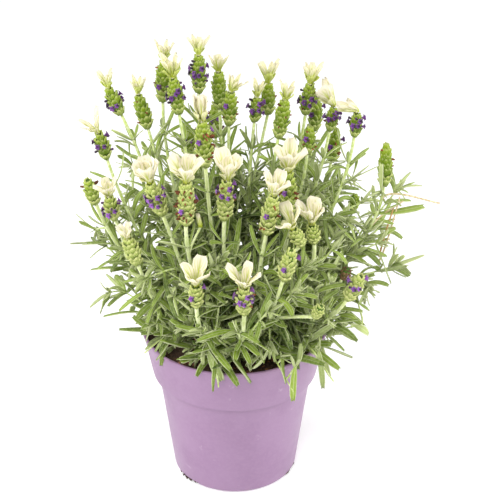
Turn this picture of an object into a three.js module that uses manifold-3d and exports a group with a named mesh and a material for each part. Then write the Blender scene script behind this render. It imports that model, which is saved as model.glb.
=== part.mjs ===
// A butterfly lavender in a plastic nursery pot, in millimetres.
// +Z is up, +X to the right and +Y to the back. The origin is the middle of the pot's underside.
import * as THREE from "three";
import { mergeVertices } from "three/addons/utils/BufferGeometryUtils.js";
import Module from "manifold-3d";

const wasm = await Module();
wasm.setup();

// ---------- driving dimensions

const pot = {
  height: 134,
  rimRadius: 75,
  collarFootRadius: 67.5, // lower edge of the deep collar
  collarFootHeight: 94,
  shoulderRadius: 62.9, // body just under the collar
  footRadius: 51,
  footHeight: 4, // height of the rounded edge at the foot
  restRadius: 47, // flat underside
  wall: 1.6,
  floor: 2,
  lip: 1.1, // radius of the rolled lip
  sides: 32,
  slots: 3, // drainage slots round the foot
  slotTurn: 220, // degrees from +X to the first one
  slotWidth: 24,
  slotHeight: 3.4,
  slotDepth: 9,
};

const soil = {
  height: 126,
  gap: 0.3, // to the pot and to each stem
  roughness: 1.3, // how far its crumbs stand up or lie down
  rings: 3,
  sides: 24,
};

const stem = {
  halfDiagonal: 1.35, // of its square section
  rootDepth: 14, // how deep it stands in the soil
  gather: 0.36, // how much nearer the middle it is in the soil than its flower is
  rise: 0.36, // the stretch over which it leaves the soil, and how much that is lifted
  lift: 0.05,
  approach: 0.3, // the stretch over which it turns in line with its spike
  longestStretch: 45, // between two sections
  lengthSteps: 12, // chords that its length is measured along
  holeSides: 4,
  straight: 22, // from its lower end, through the soil
  forkShare: 0.45, // where a fork leaves its stem
  shootShare: 0.22, // where the lowest side shoot does
  shootStep: 0.06,
  strawShare: 0.72, // where the lowest dry straw does
  strawStep: 0.18,
  strawHalfDiagonal: 0.9,
};

const shoot = { halfDiagonal: 1.15, start: 0.3, bend: 0.66, lift: 0.06, steps: 8 };

const spike = {
  radius: 5.6,
  columns: 8, // four scales in a row, turned by half a scale in the next row
  rowHeight: 5.6,
  scaleOut: 1.18, // tip of a scale, as a share of the spike's radius there
  scaleIn: 0.86, // notch between two scales
  scaleLift: 0.9, // how far a tip points up
  capRadius: 2.2,
  slimmest: 0.55, // girth of a very short one, and how much a millimetre of length adds
  gain: 1 / 60,
  roundness: 0.9, // the spindle: how much it narrows, how fast, and where it is widest
  taper: 1.72,
  middle: 0.78,
  footRoom: 1.2, // from its foot to the first row
  endRoom: 2.5, // both ends together
};

const bract = {
  width: 7,
  fullLength: 20, // one shorter than this is narrower too
  thickness: 0.9,
  hubRadius: 1.9,
  hubHeight: 2.2,
  seat: 0.3, // gap between the crown and the top of its spike
  stations: [0, 0.4, 0.75, 1],
  reach: [0.78, 1],
  spread: [0.16, 0.42], // radians from the spike's axis
  swing: 0.25,
  curl: 0.22,
};

const leaf = {
  spacing: 60, // between whorls of four: an opposite pair and the shorter leaves in its axils
  length: 33,
  axilLength: 22,
  width: 4.4,
  thickness: 0.9,
  foot: 0.9, // half the height of a leaf's foot on its stem
  bareBelowSpike: 26,
  bareAboveSoil: 18,
  bareOnShoot: 14,
  bareAtTip: 5,
  clearance: 0.4,
  longStations: [0, 0.35, 0.75, 1], // places along a leaf where its skin has a ring
  shortStations: [0, 0.5, 1],
  stretch: [0.75, 1.1],
  tilt: [0.6, 1.1], // radians from the stem
  sag: [0, 0.2],
  swing: 0.7,
  footRadius: 1.4,
  atTip: { share: 0.6, widths: [3.4, 3.2] }, // the one that ends a shoot
  lowestSize: 1.12, // leaves get shorter up the stem
  shrink: 0.4,
  tries: 6, // before one that touches a neighbour is left out
};

const floret = { length: 3.4, mouth: 3.2, throat: 2.2, firstColumn: 5, columnStep: 3 };

const colours = {
  pot: 0xb692b6,
  soil: 0x3a2a20,
  foliage: 0x8aa262,
  bracts: 0xf6f3dc,
};

// Each stem: where its spike starts and ends, how long its bracts are (none: 0), and its florets.
// "at" is how high up the spike the ring of florets sits, from 0 to 1, and "lean" tips its crown.
// "fork" is a second spike on the same stem, "shoots" are the tips of its leafy side shoots, and
// "straws" those of dry leafless ones.
const stems = [
  {
    name: "01",
    foot: [-88, 20, 314],
    top: [-97, 22, 334],
    bracts: 14,
    lean: [0.2, 0, 0],
    florets: 3,
    at: 0.35,
  },
  {
    name: "02",
    foot: [-99, 0, 286],
    top: [-104, -1, 307],
    bracts: 16,
    lean: [-0.3, 0, 0],
    florets: 3,
    at: 0.7,
  },
  {
    name: "03",
    foot: [-108, -14, 254],
    top: [-113, -17, 275],
    bracts: 0,
    florets: 0,
    fork: { name: "04", foot: [-92, -36, 252], top: [-95, -39, 272], bracts: 16, florets: 3, at: 0.3 },
    shoots: [[-104, 3, 207]],
  },
  {
    name: "05",
    foot: [-69, 45, 290],
    top: [-76, 48, 316],
    bracts: 14,
    lean: [0.35, 0, 0],
    florets: 0,
  },
  { name: "06", foot: [-57, 60, 306], top: [-56, 64, 338], bracts: 17, florets: 1, at: 0.3 },
  { name: "07", foot: [-43, 24, 313], top: [-47, 26, 341], bracts: 21, florets: 4, at: 0.4 },
  { name: "08", foot: [-28, 50, 319], top: [-28, 53, 348], bracts: 17, florets: 6, at: 0.4 },
  { name: "09", foot: [-12, 76, 292], top: [-13, 80, 321], bracts: 16, florets: 0 },
  {
    name: "10",
    foot: [-4, 34, 298],
    top: [-3, 36, 324],
    bracts: 15,
    lean: [0.35, 0, 0],
    florets: 1,
    at: 0.7,
  },
  { name: "11", foot: [-22, -10, 284], top: [-24, -12, 322], bracts: 25, florets: 2, at: 0.6 },
  {
    name: "12",
    foot: [-38, 84, 244],
    top: [-38, 89, 268],
    bracts: 0,
    florets: 3,
    at: 0.6,
    shoots: [[-72, 92, 186]],
  },
  {
    name: "13",
    foot: [-16, 104, 252],
    top: [-17, 110, 276],
    bracts: 0,
    florets: 3,
    at: 0.5,
    shoots: [[14, 118, 178]],
  },
  {
    name: "14",
    foot: [16, 48, 294],
    top: [18, 50, 313],
    bracts: 14,
    florets: 4,
    at: 0.4,
    fork: { name: "15", foot: [27, 76, 287], top: [27, 80, 311], bracts: 20, florets: 0 },
  },
  { name: "16", foot: [35, 28, 290], top: [40, 30, 320], bracts: 17, florets: 0 },
  { name: "17", foot: [57, 58, 296], top: [60, 61, 319], bracts: 18, florets: 4, at: 0.45 },
  {
    name: "18",
    foot: [65, 92, 264],
    top: [67, 98, 292],
    bracts: 0,
    florets: 2,
    at: 0.5,
    shoots: [[84, 104, 172]],
  },
  { name: "19", foot: [58, 26, 277], top: [60, 28, 298], bracts: 0, florets: 1, at: 0.6 },
  {
    name: "20",
    foot: [76, 44, 288],
    top: [79, 48, 305],
    bracts: 21,
    lean: [-0.55, 0, 0],
    florets: 5,
    at: 0.35,
  },
  {
    name: "21",
    foot: [79, 70, 247],
    top: [83, 74, 273],
    bracts: 0,
    florets: 2,
    at: 0.5,
    fork: { name: "39", foot: [97, 60, 206], top: [99, 62, 220], bracts: 0, florets: 0 },
  },
  {
    name: "22",
    foot: [95, 32, 289],
    top: [97, 34, 307],
    bracts: 11,
    lean: [-0.5, 0, 0],
    florets: 4,
    at: 0.6,
  },
  {
    name: "23",
    foot: [118, 8, 258],
    top: [119, 10, 292],
    bracts: 0,
    florets: 0,
    shoots: [[128, -6, 192], [130, 12, 252]],
    straws: [[134, 10, 242], [163, 10, 240]],
  },
  { name: "24", foot: [-54, -54, 266], top: [-62, -58, 294], bracts: 21, florets: 6, at: 0.45 },
  { name: "25", foot: [-36, -62, 262], top: [-35, -66, 298], bracts: 24, florets: 2, at: 0.3 },
  { name: "26", foot: [-7, -50, 260], top: [-5, -53, 293], bracts: 22, florets: 4, at: 0.75 },
  {
    name: "27",
    foot: [25, -60, 253],
    top: [30, -64, 286],
    bracts: 19,
    florets: 1,
    at: 0.6,
    fork: { name: "29", foot: [52, -58, 241], top: [45, -62, 257], bracts: 20, florets: 0 },
  },
  { name: "28", foot: [43, -20, 248], top: [42, -22, 284], bracts: 23, florets: 1, at: 0.5 },
  { name: "30", foot: [62, -42, 234], top: [60, -45, 251], bracts: 21, florets: 0 },
  {
    name: "31",
    foot: [38, -76, 222],
    top: [44, -80, 249],
    bracts: 0,
    florets: 2,
    at: 0.55,
    fork: { name: "36", foot: [62, -80, 190], top: [67, -83, 202], bracts: 0, florets: 0 },
    shoots: [[46, -90, 128]],
  },
  {
    name: "32",
    foot: [-28, -96, 210],
    top: [-28, -101, 230],
    bracts: 19,
    florets: 2,
    at: 0.8,
    shoots: [[-12, -90, 132]],
  },
  { name: "33", foot: [8, -100, 206], top: [8, -105, 230], bracts: 20, florets: 5, at: 0.6 },
  {
    name: "34",
    foot: [-74, -60, 226],
    top: [-80, -64, 249],
    bracts: 12,
    florets: 0,
    shoots: [[-88, -32, 184], [-70, -66, 148]],
  },
  {
    name: "35",
    foot: [88, -64, 197],
    top: [97, -70, 220],
    bracts: 0,
    florets: 3,
    at: 0.75,
    fork: { name: "38", foot: [86, -22, 190], top: [90, -24, 200], bracts: 0, florets: 0 },
    shoots: [[102, -38, 156], [78, -76, 128]],
  },
];

// ---------- small tools

let drawn = 41; // start of the fixed sequence of draws

function between(low, high) {
  drawn = (drawn * 48271) % 2147483647;
  return low + ((high - low) * drawn) / 2147483647;
}

const up = new THREE.Vector3(0, 0, 1);
const at = (numbers) => new THREE.Vector3(...numbers);
const mix = (a, b, share) => a.clone().lerp(b, share);
const radians = (degrees) => (degrees * Math.PI) / 180;

// The part of a direction that is square to an axis, at length 1.
const squareTo = (axis, direction) =>
  direction.clone().addScaledVector(axis, -axis.dot(direction)).normalize();

function solidOf(geometry) {
  const bare = geometry.clone();
  bare.deleteAttribute("normal");
  bare.deleteAttribute("uv");
  const merged = mergeVertices(bare, 1e-4);
  const mesh = new wasm.Mesh({
    numProp: 3,
    vertProperties: merged.attributes.position.array,
    triVerts: new Uint32Array(merged.index.array),
  });
  return new wasm.Manifold(mesh);
}

// Pieces of one node joined into one body, with any loose scrap dropped.
function fuse(solids) {
  const joined = solids.reduce((whole, piece) => whole.add(piece));
  const bodies = joined.decompose().sort((a, b) => b.volume() - a.volume());
  return bodies[0].simplify(0.05);
}

const group = new THREE.Group();

function addNode(name, solid, colour, roughness) {
  const mesh = solid.getMesh();
  const geometry = new THREE.BufferGeometry();
  geometry.setAttribute("position", new THREE.BufferAttribute(mesh.vertProperties, 3));
  geometry.setIndex(new THREE.BufferAttribute(mesh.triVerts, 1));
  const material = new THREE.MeshStandardMaterial({ color: colour, roughness, metalness: 0 });
  const node = new THREE.Mesh(geometry, material);
  node.name = name;
  group.add(node);
}

// ---------- a closed skin, grown ring by ring
// A ring is a list of point numbers, counter-clockwise seen from where the skin grows to.
// A ring of one point is a tip.

const newSkin = () => ({ points: [], corners: [] });

function addRing(skin, points) {
  skin.points.push(...points);
  return points.map((_, i) => skin.points.length - points.length + i);
}

function joinRings(skin, from, to, bareSides = [], isTurned = () => false) {
  const sides = Math.max(from.length, to.length);
  for (let k = 0; k < sides; k++) {
    if (bareSides.includes(k)) continue;
    const next = (k + 1) % sides;
    const [a, b] = from.length > 1 ? [from[k], from[next]] : [from[0], from[0]];
    const [c, d] = to.length > 1 ? [to[k], to[next]] : [to[0], to[0]];
    if (isTurned(k)) skin.corners.push(a, b, c, b, d, c);
    else if (a === b) skin.corners.push(a, d, c);
    else if (c === d) skin.corners.push(a, b, d);
    else skin.corners.push(a, b, d, a, d, c);
  }
}

// From a ring to one of twice as many points.
function widenRing(skin, from, to) {
  from.forEach((a, k) => {
    const b = from[(k + 1) % from.length];
    const [c, middle, d] = [to[2 * k], to[2 * k + 1], to[(2 * k + 2) % to.length]];
    skin.corners.push(a, b, middle, a, middle, c, b, d, middle);
  });
}

// The four corners of the panel between two rings, as a root to grow from, and their middle.
function panel(skin, low, high, k) {
  const next = (k + 1) % low.length;
  const root = [low[k], low[next], high[next], high[k]];
  const centre = new THREE.Vector3();
  root.forEach((number) => centre.addScaledVector(skin.points[number], 0.25));
  return { root, centre };
}

function closeRing(skin, ring) {
  for (let k = 1; k + 1 < ring.length; k++) skin.corners.push(ring[0], ring[k], ring[k + 1]);
}

function skinSolid(skin) {
  const geometry = new THREE.BufferGeometry().setFromPoints(skin.points);
  return solidOf(geometry.setIndex(skin.corners));
}

function loft(rings) {
  const skin = newSkin();
  const numbered = rings.map((points) => addRing(skin, points));
  closeRing(skin, numbered[0].toReversed());
  numbered.slice(1).forEach((ring, i) => joinRings(skin, numbered[i], ring));
  closeRing(skin, numbered.at(-1));
  return skinSolid(skin);
}

function ringAround(centre, axis, side, radii, lifts = [0]) {
  const front = axis.clone().cross(side);
  return radii.map((radius, k) => {
    const angle = (2 * Math.PI * k) / radii.length;
    return centre
      .clone()
      .addScaledVector(side, radius * Math.cos(angle))
      .addScaledVector(front, radius * Math.sin(angle))
      .addScaledVector(axis, lifts[k % lifts.length]);
  });
}

// A thin blade out of a four-cornered root, through its centres to the last one, its tip.
// The upper face looks towards "facing".
function growBlade(skin, root, centres, widths, thickness, facing) {
  let last = root;
  for (let i = 1; i + 1 < centres.length; i++) {
    const along = centres[i + 1].clone().sub(centres[i - 1]).normalize();
    const upper = squareTo(along, facing).multiplyScalar(thickness / 2);
    const side = upper.clone().cross(along).setLength(widths[i - 1] / 2);
    const corner = (across, over) =>
      centres[i].clone().addScaledVector(side, across).addScaledVector(upper, over);
    const ring = [corner(-0.7, -1), corner(0.7, -1), corner(1, 1), corner(-1, 1)];
    const numbered = addRing(skin, ring);
    joinRings(skin, last, numbered);
    last = numbered;
  }
  joinRings(skin, last, addRing(skin, [centres.at(-1)]));
}

// ---------- keeping the plant's pieces clear of each other

const taken = []; // every placed stretch: a line, its radius and the node that owns it

function gapBetween(p, q, r, s) {
  const [u, v, w] = [q.clone().sub(p), s.clone().sub(r), p.clone().sub(r)];
  const [a, b, c, d, e] = [u.dot(u), u.dot(v), v.dot(v), u.dot(w), v.dot(w)];
  const slope = a * c - b * b;
  let along = slope > 1e-9 ? THREE.MathUtils.clamp((b * e - c * d) / slope, 0, 1) : 0;
  const across = THREE.MathUtils.clamp((b * along + e) / c, 0, 1);
  along = THREE.MathUtils.clamp((b * across - d) / a, 0, 1);
  return mix(p, q, along).distanceTo(mix(r, s, across));
}

function take(owner, points, radius) {
  points.slice(1).forEach((to, i) => taken.push({ owner, from: points[i], to, radius }));
}

function isClear(points, radius, others) {
  return others.every((other) =>
    points
      .slice(1)
      .every(
        (point, i) =>
          gapBetween(points[i], point, other.from, other.to) > radius + other.radius + leaf.clearance,
      ),
  );
}

const strangersTo = (owner) => taken.filter((other) => other.owner !== owner);
const ownOf = (owner) => taken.filter((other) => other.owner === owner);

// The room over the soil, inside the rim, over it and beyond it.
function isClearOfPot(points, radius) {
  return points.every((point) => {
    const out = Math.hypot(point.x, point.y);
    const overRim = point.z > pot.height + radius + 1;
    const inside = out < pot.rimRadius - 6 && point.z > soil.height + soil.roughness + radius + 1;
    return overRim || inside || out > pot.rimRadius + radius + 2;
  });
}

// ---------- pot and soil

function potSolid() {
  const innerTop = pot.rimRadius - pot.wall;
  const outside = [
    [0, 0],
    [pot.restRadius, 0],
    [pot.restRadius + 2.2, 1],
    [pot.footRadius, pot.footHeight],
    [pot.shoulderRadius, pot.collarFootHeight - 1],
    [pot.collarFootRadius - 0.8, pot.collarFootHeight - 0.6],
    [pot.collarFootRadius, pot.collarFootHeight],
    [pot.rimRadius - 0.4, pot.height - 3 * pot.lip],
    [pot.rimRadius + pot.lip / 2, pot.height - 2 * pot.lip],
    [pot.rimRadius + pot.lip / 2, pot.height - pot.lip / 2],
    [pot.rimRadius - pot.wall / 2, pot.height],
  ];
  const inside = [
    [innerTop, pot.height - pot.lip / 2],
    [pot.collarFootRadius - pot.wall, pot.collarFootHeight + 1.5],
    [pot.shoulderRadius - pot.wall, pot.collarFootHeight + 0.5],
    [pot.footRadius - pot.wall, pot.footHeight + 1],
    [pot.restRadius, pot.floor],
    [0, pot.floor],
  ];
  const profile = [...outside, ...inside].map(([r, z]) => new THREE.Vector2(r, z));
  const shell = new THREE.LatheGeometry(profile, pot.sides).rotateX(Math.PI / 2);
  let body = solidOf(shell);
  for (let i = 0; i < pot.slots; i++) {
    const slot = new THREE.BoxGeometry(2 * pot.slotDepth, pot.slotWidth, 2 * pot.slotHeight);
    slot.translate(pot.footRadius, 0, 0);
    slot.rotateZ(radians(pot.slotTurn + (360 * i) / pot.slots));
    body = body.subtract(solidOf(slot));
  }
  return body;
}

function soilSolid(holes) {
  const foot = pot.restRadius - pot.slotDepth / 2;
  const wallRadius = (z) => {
    const body = (z - pot.footHeight) / (pot.collarFootHeight - pot.footHeight);
    const collar = (z - pot.collarFootHeight) / (pot.height - pot.collarFootHeight);
    const outer =
      z > pot.collarFootHeight
        ? pot.collarFootRadius + collar * (pot.rimRadius - pot.collarFootRadius)
        : pot.footRadius + body * (pot.shoulderRadius - pot.footRadius);
    return outer - pot.wall - soil.gap - 0.5;
  };
  const ring = (radius, z, rough) => {
    const points = [];
    for (let k = 0; k < soil.sides; k++) {
      const angle = (2 * Math.PI * k) / soil.sides;
      const height = z + between(-rough, rough);
      points.push(at([radius * Math.cos(angle), radius * Math.sin(angle), height]));
    }
    return points;
  };
  const step = pot.collarFootHeight;
  const edge = soil.height - 2;
  const rings = [
    ring(foot, pot.floor + soil.gap, 0),
    ring(wallRadius(9), 9, 0),
    ring(wallRadius(step), step + 1, 0),
    ring(wallRadius(step + 1) - 0.6, step + 2.6, 0),
    ring(wallRadius(edge), edge, 0),
  ];
  for (let i = soil.rings; i > 0; i--) {
    rings.push(ring((wallRadius(edge) * i) / (soil.rings + 0.3), soil.height, soil.roughness));
  }
  rings.push([at([0, 0, soil.height])]);
  return holes.reduce((filling, hole) => filling.subtract(hole), loft(rings));
}

// ---------- stems and leaves

function stemCurve(root, foot, top) {
  const reach = root.distanceTo(foot);
  const axis = top.clone().sub(foot).normalize();
  const rise = mix(root, foot, stem.rise).addScaledVector(up, stem.lift * reach);
  const bend = foot.clone().addScaledVector(axis, -stem.approach * reach);
  return new THREE.CubicBezierCurve3(root, rise, bend, foot);
}

function shootCurve(start, along, tip) {
  const reach = start.distanceTo(tip);
  const out = start.clone().addScaledVector(along, shoot.start * reach);
  const bend = mix(start, tip, shoot.bend).addScaledVector(up, shoot.lift * reach);
  return new THREE.CubicBezierCurve3(start, out, bend, tip);
}

function chordLength(curve) {
  const points = curve.getPoints(stem.lengthSteps);
  return points.slice(1).reduce((sum, point, i) => sum + point.distanceTo(points[i]), 0);
}

function leafCentres(start, along, out, length, tilt, sag, stations) {
  const heading = along.clone().multiplyScalar(Math.cos(tilt)).addScaledVector(out, Math.sin(tilt));
  return stations.map((share) =>
    start
      .clone()
      .addScaledVector(heading, share * length)
      .addScaledVector(up, -sag * length * share * share),
  );
}

// One leaf from a side of its stem. One that would touch a neighbour is bent another way, and is
// left out after a few tries.
function growLeaf(skin, root, owner, start, along, out, length, stations, widths) {
  const radius = leaf.width / 2;
  for (let tries = 0; tries < leaf.tries; tries++) {
    const swing = along.clone().cross(out).multiplyScalar(between(-leaf.swing, leaf.swing));
    const outward = out.clone().add(swing).normalize();
    const long = length * between(...leaf.stretch);
    const [tilt, sag] = [between(...leaf.tilt), between(...leaf.sag)];
    const centres = leafCentres(start, along, outward, long, tilt, sag, stations);
    const tip = centres.at(-1);
    const outer = [mix(start, centres[1], 0.7), ...centres.slice(1, -1), tip];
    const inner = [mix(start, centres[1], 0.35), outer[0]];
    if (!isClearOfPot(outer, radius)) continue;
    const strangers = strangersTo(owner);
    if (!isClear(outer, radius, strangers) || !isClear(inner, leaf.footRadius, strangers)) continue;
    if (!isClear(outer.slice(long > leaf.axilLength ? 0 : 1), radius, ownOf(owner))) continue;
    take(owner, outer, radius);
    growBlade(skin, root, centres, widths, leaf.thickness, along.clone().addScaledVector(up, 0.4));
    return true;
  }
  return false;
}

// A square stalk along a curve, with a whorl of leaves at each of the given distances along it. It
// ends in a spike, in a leaf, or bare where it is a straw.
function leafyStalk(owner, { curve, head, isStraw }, halfDiagonal, whorls, isRooted) {
  const length = chordLength(curve);
  const sections = [{ place: 0 }];
  if (isRooted) sections.push({ place: stem.straight });
  for (const place of [...whorls, length + leaf.foot]) {
    const last = sections.at(-1).place;
    const plain = Math.floor((place - last) / stem.longestStretch);
    for (let i = 1; i <= plain; i++) sections.push({ place: last + ((place - last) * i) / (plain + 1) });
    if (place < length) sections.push({ place: place - leaf.foot, whorl: true });
    sections.push({ place: Math.min(place + leaf.foot, length) });
  }
  const skin = newSkin();
  let side = new THREE.Vector3(1, 0, 0);
  const rings = sections.map(({ place }) => {
    const axis = curve.getTangent(place / length);
    side = squareTo(axis, side);
    const points = ringAround(curve.getPoint(place / length), axis, side, Array(4).fill(halfDiagonal));
    return { axis, side, numbers: addRing(skin, points) };
  });
  closeRing(skin, rings[0].numbers.toReversed());
  sections.slice(0, -1).forEach((section, i) => {
    const [low, high] = [rings[i], rings[i + 1]];
    const leafy = [];
    const size = leaf.lowestSize - (leaf.shrink * section.place) / length;
    for (let k = 0; section.whorl && k < 4; k++) {
      const isLong = (k + i) % 2 === 0;
      const { root, centre } = panel(skin, low.numbers, high.numbers, k);
      const out = squareTo(low.axis, centre.clone().sub(curve.getPoint(section.place / length)));
      const reach = size * (isLong ? leaf.length : leaf.axilLength);
      const stations = isLong ? leaf.longStations : leaf.shortStations;
      const widths = isLong ? [leaf.width, leaf.width * 0.85] : [leaf.width * 0.9];
      if (growLeaf(skin, root, owner, centre, low.axis, out, reach, stations, widths)) leafy.push(k);
    }
    joinRings(skin, low.numbers, high.numbers, leafy);
  });
  const end = rings.at(-1);
  if (head) {
    growSpike(skin, end.numbers, end.side, head);
  } else if (isStraw) {
    closeRing(skin, end.numbers);
  } else {
    const centres = leaf.longStations.map((share) =>
      curve.v3.clone().addScaledVector(end.axis, share * leaf.length * leaf.atTip.share),
    );
    growBlade(skin, end.numbers, centres, leaf.atTip.widths, leaf.thickness, up);
  }
  return skinSolid(skin);
}

function whorlPlaces(from, to) {
  const count = Math.max(0, Math.floor((to - from) / leaf.spacing)) + 1;
  return Array.from({ length: count }, (_, i) => from + (i * (to - from)) / Math.max(1, count - 1));
}

function holeFor(curve) {
  const start = curve.getPoint(0);
  const end = curve.getPoint(stem.straight / chordLength(curve));
  const axis = end.clone().sub(start).normalize();
  const radii = Array(stem.holeSides).fill(stem.halfDiagonal + 1.6 * soil.gap);
  const side = squareTo(axis, new THREE.Vector3(1, 0, 0));
  const low = start.clone().addScaledVector(axis, -soil.gap - 0.1);
  return loft([ringAround(low, axis, side, radii), ringAround(end, axis, side, radii)]);
}

// ---------- spikes, florets and bracts

const girthOf = (length) => spike.radius * Math.min(1, spike.slimmest + spike.gain * length);
const spindle = (share) => Math.sqrt(1 - spike.roundness * (spike.taper * share - spike.middle) ** 2);

// Rows of overlapping scales on a spindle, and small open flowers between them.
function growSpike(skin, stalkEnd, stalkSide, head) {
  const axis = head.top.clone().sub(head.foot);
  const length = axis.length();
  axis.normalize();
  const side = squareTo(axis, stalkSide);
  const rows = Math.max(3, Math.round(length / spike.rowHeight));
  const columns = Array.from({ length: spike.columns }, (_, k) => k);
  const rings = [];
  for (let row = 0; row <= rows; row++) {
    const share = row / rows;
    const radius = girthOf(length) * spindle(share);
    const isTip = (k) => (k + row) % 2 === 0;
    const radii = columns.map((k) => radius * (isTip(k) ? spike.scaleOut : spike.scaleIn));
    const lifts = columns.map((k) => (isTip(k) ? spike.scaleLift : -spike.scaleLift));
    const height = spike.footRoom + share * (length - spike.endRoom);
    const centre = head.foot.clone().addScaledVector(axis, height);
    rings.push(addRing(skin, ringAround(centre, axis, side, radii, lifts)));
  }
  widenRing(skin, stalkEnd, rings[0]);
  const florets = Array.from({ length: head.florets }, (_, i) => ({
    row: Math.min(rows - 1, Math.round(head.at * (rows - 1)) + (i % 2)),
    column: (floret.firstColumn + floret.columnStep * i) % spike.columns,
  }));
  for (let row = 0; row < rows; row++) {
    const open = florets.filter((one) => one.row === row).map((one) => one.column);
    open.forEach((column) => growFloret(skin, rings[row], rings[row + 1], column, axis));
    joinRings(skin, rings[row], rings[row + 1], open, (k) => (k + row) % 2 === 0);
  }
  const cap = addRing(skin, ringAround(head.top, axis, side, Array(spike.columns).fill(spike.capRadius)));
  joinRings(skin, rings[rows], cap);
  closeRing(skin, cap);
}

function growFloret(skin, low, high, column, axis) {
  const { root, centre } = panel(skin, low, high, column);
  const [a, b, , d] = root.map((number) => skin.points[number]);
  const out = b.clone().sub(a).cross(d.clone().sub(a)).normalize();
  const upper = squareTo(out, axis).multiplyScalar(floret.mouth / 2);
  const side = upper.clone().cross(out);
  const mouth = centre.clone().addScaledVector(out, floret.length);
  const corner = (across, over) => mouth.clone().addScaledVector(side, across).addScaledVector(upper, over);
  const ring = addRing(skin, [corner(-1, -1), corner(1, -1), corner(1, 1), corner(-1, 1)]);
  joinRings(skin, root, ring);
  joinRings(skin, ring, addRing(skin, [centre.addScaledVector(out, floret.throat)]));
}

// A crown of bracts round a small hub, standing on top of its spike. One that leans is lifted
// until its hub clears the spike.
function crownSolid(name, { foot, top, bracts: length, lean = [0, 0, 0] }) {
  const upright = top.clone().sub(foot).normalize();
  const axis = upright.clone().add(at(lean)).normalize();
  const turn = between(0, 1.57);
  const flat = squareTo(axis, new THREE.Vector3(1, 0, 0));
  const side = flat.clone().multiplyScalar(Math.cos(turn));
  side.addScaledVector(axis.clone().cross(flat), Math.sin(turn));
  const lift = bract.seat + bract.hubRadius * upright.angleTo(axis);
  const seat = top.clone().addScaledVector(upright, lift);
  const lip = seat.clone().addScaledVector(axis, bract.hubHeight);
  const skin = newSkin();
  const radii = Array(4).fill(bract.hubRadius);
  const low = addRing(skin, ringAround(seat, axis, side, radii));
  const high = addRing(skin, ringAround(lip, axis, side, radii));
  closeRing(skin, low.toReversed());
  closeRing(skin, high);
  const width = bract.width * Math.min(1, length / bract.fullLength);
  const leafy = [];
  for (let k = 0; k < 4; k++) {
    const { root, centre } = panel(skin, low, high, k);
    const out = squareTo(axis, centre.clone().sub(seat));
    for (let tries = 0; tries < leaf.tries; tries++) {
      const swing = axis.clone().cross(out).multiplyScalar(between(-bract.swing, bract.swing));
      const outward = out.clone().add(swing).normalize();
      const [reach, spread] = [length * between(...bract.reach), between(...bract.spread)];
      const heading = axis.clone().multiplyScalar(Math.cos(spread));
      heading.addScaledVector(outward, Math.sin(spread));
      const centres = bract.stations.map((share) =>
        centre
          .clone()
          .addScaledVector(heading, share * reach)
          .addScaledVector(outward, bract.curl * reach * share * share),
      );
      const span = centres.slice(1);
      const others = taken.filter((other) => other.owner !== name && other.to !== top);
      if (!isClear(span, width * 0.45, others)) continue;
      take(name, span, width * 0.4);
      growBlade(skin, root, centres, [width * 0.75, width], bract.thickness, outward.negate());
      leafy.push(k);
      break;
    }
  }
  joinRings(skin, low, high, leafy);
  return skinSolid(skin);
}

// ---------- the whole plant

// Curves first, so that every later piece knows where the stems and spikes are.
const plants = stems.map((entry) => {
  const owner = "stem_" + entry.name;
  const head = { ...entry, foot: at(entry.foot), top: at(entry.top) };
  const root = head.foot.clone().multiplyScalar(stem.gather).setZ(soil.height - stem.rootDepth);
  const main = { curve: stemCurve(root, head.foot, head.top), head };
  const branches = (entry.shoots ?? []).map((tip, i) => {
    const share = stem.shootShare + stem.shootStep * i;
    return { curve: shootCurve(main.curve.getPoint(share), main.curve.getTangent(share), at(tip)) };
  });
  (entry.straws ?? []).forEach((tip, i) => {
    const share = stem.strawShare + stem.strawStep * i;
    const [start, along] = [main.curve.getPoint(share), main.curve.getTangent(share)];
    branches.push({ curve: shootCurve(start, along, at(tip)), isStraw: true });
  });
  if (entry.fork) {
    const fork = { ...entry.fork, foot: at(entry.fork.foot), top: at(entry.fork.top) };
    const [start, along] = [main.curve.getPoint(stem.forkShare), main.curve.getTangent(stem.forkShare)];
    branches.push({ curve: shootCurve(start, along, fork.foot), head: fork });
  }
  take(owner, main.curve.getPoints(stem.lengthSteps), stem.halfDiagonal);
  branches.forEach(({ curve }) => take(owner, curve.getPoints(shoot.steps), shoot.halfDiagonal));
  const heads = [main, ...branches].filter((stalk) => stalk.head).map((stalk) => stalk.head);
  for (const one of heads) {
    const room = one.florets ? spike.radius + floret.length : spike.radius * spike.scaleOut;
    take(owner, [one.foot, one.top], room);
  }
  return { owner, main, heads, branches };
});

const crowns = plants.flatMap(({ heads }) =>
  heads
    .filter((head) => head.bracts > 0)
    .map((head) => {
      const name = "bracts_" + head.name;
      return { name, solid: crownSolid(name, head) };
    }),
);

const leafyStems = plants.map(({ owner, main, branches }) => {
  const stalks = branches.map((branch) => {
    if (branch.isStraw) return leafyStalk(owner, branch, stem.strawHalfDiagonal, [], false);
    const bareEnd = branch.head ? leaf.bareBelowSpike : leaf.bareAtTip;
    const whorls = whorlPlaces(leaf.bareOnShoot, chordLength(branch.curve) - bareEnd);
    return leafyStalk(owner, branch, shoot.halfDiagonal, whorls, false);
  });
  const low = stem.rootDepth + leaf.bareAboveSoil;
  const whorls = whorlPlaces(low, chordLength(main.curve) - leaf.bareBelowSpike);
  stalks.push(leafyStalk(owner, main, stem.halfDiagonal, whorls, true));
  return { name: owner, solid: fuse(stalks) };
});

addNode("pot", potSolid(), colours.pot, 0.45);
addNode("soil", soilSolid(plants.map(({ main }) => holeFor(main.curve))), colours.soil, 1);
leafyStems.forEach(({ name, solid }) => addNode(name, solid, colours.foliage, 0.7));
crowns.forEach(({ name, solid }) => addNode(name, solid, colours.bracts, 0.6));

export default group;
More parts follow.
